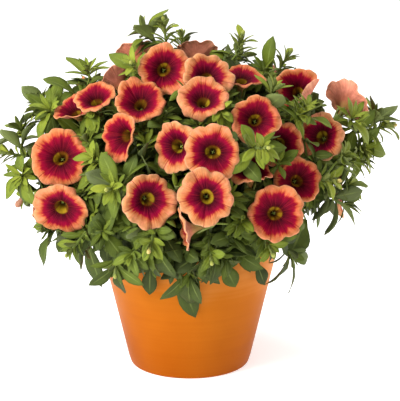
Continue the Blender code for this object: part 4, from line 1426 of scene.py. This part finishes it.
def make_pot(material):
    """The pot's wall, with softly rounded rim and foot, and its floor with the drainage holes."""
    inner_foot = pot_radius(POT_FLOOR) - POT_WALL - 2 * MM
    rim = POT_RIM_RADIUS - POT_WALL / 2
    profile = rounded(inner_foot, POT_FLOOR + 2 * MM, 2 * MM, -90, -10)
    profile += [(pot_radius(h * MM) - POT_WALL, h * MM) for h in (20, 40, 60, 80)]
    profile += rounded(rim, POT_HEIGHT - POT_WALL / 2, POT_WALL / 2, 180, 0, 10)
    profile += [(pot_radius(h * MM), h * MM) for h in (84, 70, 56, 42, 28, 14, 5)]
    profile += rounded(POT_FOOT_RADIUS - POT_EDGE, POT_EDGE, POT_EDGE, 0, -90)
    mesh = Mesh()
    points = turned_points(profile, POT_STEPS)
    mesh.add(points, turned_over(wrap_faces(len(profile), POT_STEPS)), 0, points, 0.0)
    wall = mesh.make("pot_wall", [material])
    return wall, make_pot_floor(POT_FOOT_RADIUS - POT_EDGE, inner_foot, material)


def short_cylinder(name, low, high, depth, steps):
    mesh = bpy.data.meshes.new(name)
    work = bmesh.new()
    bmesh.ops.create_cone(
        work, cap_ends=True, segments=steps, radius1=low, radius2=high, depth=depth)
    work.to_mesh(mesh)
    work.free()
    made = bpy.data.objects.new(name, mesh)
    bpy.context.scene.collection.objects.link(made)
    return made


def make_pot_floor(low, high, material):
    """The pot's floor, pierced by its drainage holes."""
    floor = short_cylinder("pot_floor", low, high, POT_FLOOR, POT_STEPS)
    drains = []
    for k in range(DRAIN_COUNT):
        drain = short_cylinder("drain", DRAIN_RADIUS, DRAIN_RADIUS, POT_FLOOR * 3, DRAIN_STEPS)
        drain.location = direction(60 + 360 * k / DRAIN_COUNT, 0) * DRAIN_RING
        boolean = floor.modifiers.new("Drain", "BOOLEAN")
        boolean.object = drain
        boolean.solver = "EXACT"
        drains.append(drain)
    evaluated = floor.evaluated_get(bpy.context.evaluated_depsgraph_get())
    mesh = bpy.data.meshes.new_from_object(evaluated)
    for made in (floor, *drains):
        bpy.data.objects.remove(made)
    for vertex in mesh.vertices:
        vertex.co.z += POT_FLOOR / 2
    mesh.materials.clear()
    mesh.materials.append(material)
    return add_piece("pot_floor", mesh)


def make_soil(material, draw):
    """Crumbly soil: a rough crown with loose crumbs and a few pale grains on it."""
    mesh = Mesh()
    edge = pot_radius(SOIL_EDGE_HEIGHT) - POT_WALL - 0.1 * MM
    foot = pot_radius(POT_FLOOR) - POT_WALL - GAP
    profile = [(edge * (r + 0.5) / (SOIL_RINGS + 0.5), 0.0) for r in range(SOIL_RINGS + 1)]
    points = []
    for x, y, _ in turned_points(profile, SOIL_STEPS):
        radius = math.hypot(x, y)
        rough = noise.noise(Vector((x, y, 0.3)) * 260)
        rough += 0.7 * noise.noise(Vector((x, y, 1.7)) * 620)
        fade = min(1.0, (edge - radius) / (3 * MM))
        points.append((x, y, soil_height(radius) + (rough * fade - 0.2) * MM))
    points += turned_points([(foot, POT_FLOOR + GAP)], SOIL_STEPS)
    mesh.add(points, turned_over(tube_faces(SOIL_RINGS + 2, SOIL_STEPS)), 0, points, 0.0)
    for _ in range(CRUMBS):
        radius, turn = (edge - 3 * MM) * math.sqrt(draw.random()), draw.uniform(*PHASES)
        height = soil_height(radius) + 0.2 * MM
        centre = Vector((radius * math.cos(turn), radius * math.sin(turn), height))
        tint = 1.0 if draw.random() < PALE_CRUMBS else 0.0
        add_ball(mesh, centre, draw.uniform(0.5, 1.5) * MM, 0, tint)
    return mesh.make("soil_crumbs", [material])


# Leaves hanging over the pot: foot, tip and half width, in mm
HANGING = (
    ((-66, -15, 86), (-58, -15, 53), 6.0),
    ((-7, -61, 79), (4, -56, 46), 6.0),
    ((42, -45, 80), (48, -40, 63), 4.2),
    ((21, -59, 84), (29, -57, 67), 5.2),
    ((-24, -58, 82), (-25, -57, 62), 4.6),
    ((73, -34, 105), (64, -38, 82), 7.5),
    ((-76, -30, 94), (-83, -33, 83), 4.4),
    ((-36, -52, 84), (-42, -50, 70), 4.4),
)


def hanging_leaves(room, stems):
    """The twigs that carry the leaves hanging over the pot, and these leaves."""
    twigs, leaves = [], []
    for foot, tip, half_width in HANGING:
        root, way = Vector(foot) * MM, (Vector(tip) - Vector(foot)) * MM
        along = way.normalized()
        face = square_to(along, Vector((root.x * 0.4, -60 * MM, 0)))
        leaf = Leaf(root, along, face, way.length, half_width * MM, 0.15, LEAF_ROWS)
        for name, path in sprigs(room, stems, [], [root], 0, rise=-1.2):
            twigs.append((name, path))
            leaves.append((name, leaf, 0.3, FINE))
            room.add(name, blade(leaf, SPRAY_CLEARANCE))
    return twigs, leaves


# The plant

# Tints of the buds that differ from the usual green, and the stem with one withered bloom
PALE_BUDS = {"stem_low_front": 0.8, "stem_right": 0.8, "stem_right_lower": 0.7}
GREEN_BUD = 0.2
BUD_LENGTH = 7 * MM
WITHERED = "stem_left"
WITHERED_LENGTH = 12 * MM
TWIG_RADII = (0.75 * MM, 0.55 * MM)


def youth_and_shade(point, gain, start):
    """0 for the older leaves deep inside or low on the plant, up to 1 for those at its surface:
    partly the leaves' age and partly painted shade.
    """
    way = point - DOME_CENTRE
    rise = DOME_RISE if way.z > 0 else DOME_FALL
    share = Vector((way.x / DOME_REACH, way.y / DOME_REACH, way.z / rise)).length
    # Painted shade: leaves deeper inside the dome and lower on the plant get smaller values, so a
    # darker green.
    outwardness = max(0.0, min(1.0, (share - 0.45) / 0.7))
    height = max(0.0, min(1.0, (point.z - 75 * MM) / (65 * MM)))
    return min(1.0, outwardness * gain + start) * (0.45 + 0.55 * height)


def filled_sprays(plant, draw):
    """Sprigs and leaves that make the plant as dense as it is, where the solids leave room."""
    room, stems = Room(), plant.stems
    room.add("pot", pot_skin())
    for bloom in plant.blooms:
        room.add(bloom.name, corolla(bloom))
    for name, path in stems.items():
        room.add(name, sleeve(path[1:], STEM_TIP_RADIUS))
    forks = [(name, path) for name, path, _ in plant.forks]
    taken = [(on_dome(b.azimuth, b.elevation, b.share), 14 * MM) for b in plant.blooms]
    taken += [(path[-1], 12 * MM) for _, path in (*stems.items(), *forks)]
    hanging, low_leaves = hanging_leaves(room, stems)
    clear = sprigs(room, stems, [], [on_dome(*tip) for tip in CLEAR_TIPS], 4 * MM)
    outer = spread_sprigs(room, stems, taken, OUTER_LAYER, draw)
    inner = spread_sprigs(room, stems, [], INNER_LAYER, draw)
    skirt = spread_sprigs(room, stems, [], SKIRT_LAYER, draw)
    # The last column is partly age and partly painted shade: the inner and skirt layers, deep inside
    # and low, get the most.
    sprays = [Spray(name, path, *rule) for shoots, *rule in (
        (stems.items(), 13, 13, 0.3, FINE, 0.0),
        (forks, 11, 6, 0.35, FINE, 0.0),
        (clear, 13, 8, 0.35, FINE, 0.1),
        (outer, 9, 5, 0.3, MEDIUM, 0.15),
        (inner, 0, 12, 0.4, COARSE, 0.5),
        (skirt, 4, 8, 0.4, COARSE, 0.45),
    ) for name, path in shoots]
    return hanging + clear + outer + inner + skirt, low_leaves + fill_leaves(room, sprays, draw)


def owned(things, name):
    """What a stem owns, from things that each begin with the name of their stem."""
    return [thing[1:] for thing in things if thing[0] == name]


def make_stem(name, path, plant, filling, materials, draw):
    """One stem with its forks, stalks, cups, buds and leaves, as fine as they look."""
    twigs, extra = filling
    mesh = Mesh()
    add_tube(mesh, smooth_path(path, 5), [STEM_FOOT_RADIUS, STEM_TIP_RADIUS], 8, STEM_LOOK, 0.4)
    forks = [fork for fork, _ in owned(plant.forks, name)]
    for fork in forks:
        add_tube(mesh, smooth_path(fork, 5), [FORK_RADIUS, FORK_RADIUS * 0.7], 7, STEM_LOOK, 0.6)
    for (twig,) in owned(twigs, name):
        add_tube(mesh, smooth_path(twig, 4), TWIG_RADII, 6, STEM_LOOK, 0.65)
    for stalk, bloom in owned(plant.stalks, name):
        radii = [STALK_RADIUS, STALK_RADIUS * 0.8, STALK_RADIUS]
        add_tube(mesh, smooth_path(stalk, 5), radii, 7, STEM_LOOK, 0.65)
        add_calyx(mesh, bloom, draw)
    for tip in (path, *forks[1:]):
        foot, run = along_path(tip, 0.995)
        add_bud(mesh, foot, run, BUD_LENGTH, PALE_BUDS.get(name, GREEN_BUD), draw)
    if name == WITHERED:
        foot, run = along_path(forks[0], 0.995)
        add_bud(mesh, foot, (run - UP * 0.6).normalized(), WITHERED_LENGTH, 1.0, draw)
    for (leaf,) in owned(plant.leaves, name):
        young = 0.3 if leaf.rows == SMALL_LEAF_ROWS else 0.0
        add_leaf(mesh, leaf, youth_and_shade(leaf.root, 0.65, young), draw)
    for leaf, young, grid in owned(extra, name):
        add_leaf(mesh, leaf, youth_and_shade(leaf.root, 0.45, young * 0.5), draw, grid)
    made = mesh.make(name + "_fine", materials)
    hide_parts(name)


def make_plant(materials):
    draw = random.Random(SEED + 1)
    plant = grow_plant()
    filling = filled_sprays(plant, draw)
    for bloom in plant.blooms:
        mesh = Mesh()
        add_bloom(mesh, bloom, draw)
        made = mesh.make(bloom.name + "_fine", materials)
        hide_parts(bloom.name)
    for name, path in plant.stems.items():
        make_stem(name, path, plant, filling, materials, draw)


# Studio

CAMERA_PLACE = (0.0067, -1.150, 0.418)
CAMERA_AIM = (0.0067, 0, 0.108)
CAMERA_LENS = 165.7
SENSOR_WIDTH = 36
FLOOR_WIDTH = 12
FLOOR_GLOW = 0.42
SKY_GLOW = 0.45
WHITE = (1, 1, 1, 1)
# Name, place, aim, width, power and colour of each light
LIGHTS = (
    ("key", (-1.0, -0.75, 0.85), (0, 0, 0.12), 0.8, 27, (1.0, 0.99, 0.95)),
    ("fill", (-0.5, -1.2, 0.25), (0, 0, 0.15), 1.0, 7, (1, 1, 1)),
    ("rim", (0.95, 0.35, 0.35), (0, 0, 0.08), 0.4, 7, (1.0, 0.95, 0.96)),
    ("top", (-0.1, 0.3, 1.3), (0, 0, 0.15), 0.7, 10, (1, 1, 1)),
)


def set_up(name, data, place, aim):
    """A light or camera at a place, turned to its aim."""
    made = bpy.data.objects.new(name, data)
    made.location = place
    made.rotation_euler = (Vector(aim) - Vector(place)).to_track_quat("-Z", "Y").to_euler()
    bpy.context.scene.collection.objects.link(made)
    return made


def make_studio():
    """A white floor and sky, a large soft key at the upper left, a low fill, a rim light at the
    right and one light from above."""
    bpy.ops.mesh.primitive_plane_add(size=FLOOR_WIDTH, location=(0, 0, 0))
    floor = bpy.context.object
    floor.name = "studio_floor"
    n = Nodes("studio_white")
    n.shader.inputs["Emission Color"].default_value = WHITE
    n.shader.inputs["Emission Strength"].default_value = FLOOR_GLOW
    floor.data.materials.append(n.finish(srgb(250, 250, 250), 0.9, specular=0.1))
    world = bpy.data.worlds.new("studio")
    bpy.context.scene.world = world
    world.use_nodes = True
    world.node_tree.nodes["Background"].inputs[0].default_value = WHITE
    world.node_tree.nodes["Background"].inputs[1].default_value = SKY_GLOW
    for name, place, aim, size, power, color in LIGHTS:
        data = bpy.data.lights.new(name, "AREA")
        data.shape = "DISK"
        data.size = size
        data.energy = power
        data.color = color
        set_up(name, data, place, aim)
    bpy.context.scene.view_settings.view_transform = "Standard"


def make_camera():
    data = bpy.data.cameras.new("camera")
    data.lens = CAMERA_LENS
    data.sensor_width = SENSOR_WIDTH
    bpy.context.scene.camera = set_up("camera", data, CAMERA_PLACE, CAMERA_AIM)


make_camera()
make_studio()
make_plant([petal_material(), stem_material(), leaf_material(), bud_material()])
pot_wall, pot_floor = make_pot(glaze_material())
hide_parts("pot")
soil = make_soil(soil_material(), random.Random(SEED + 2))
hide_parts("soil")
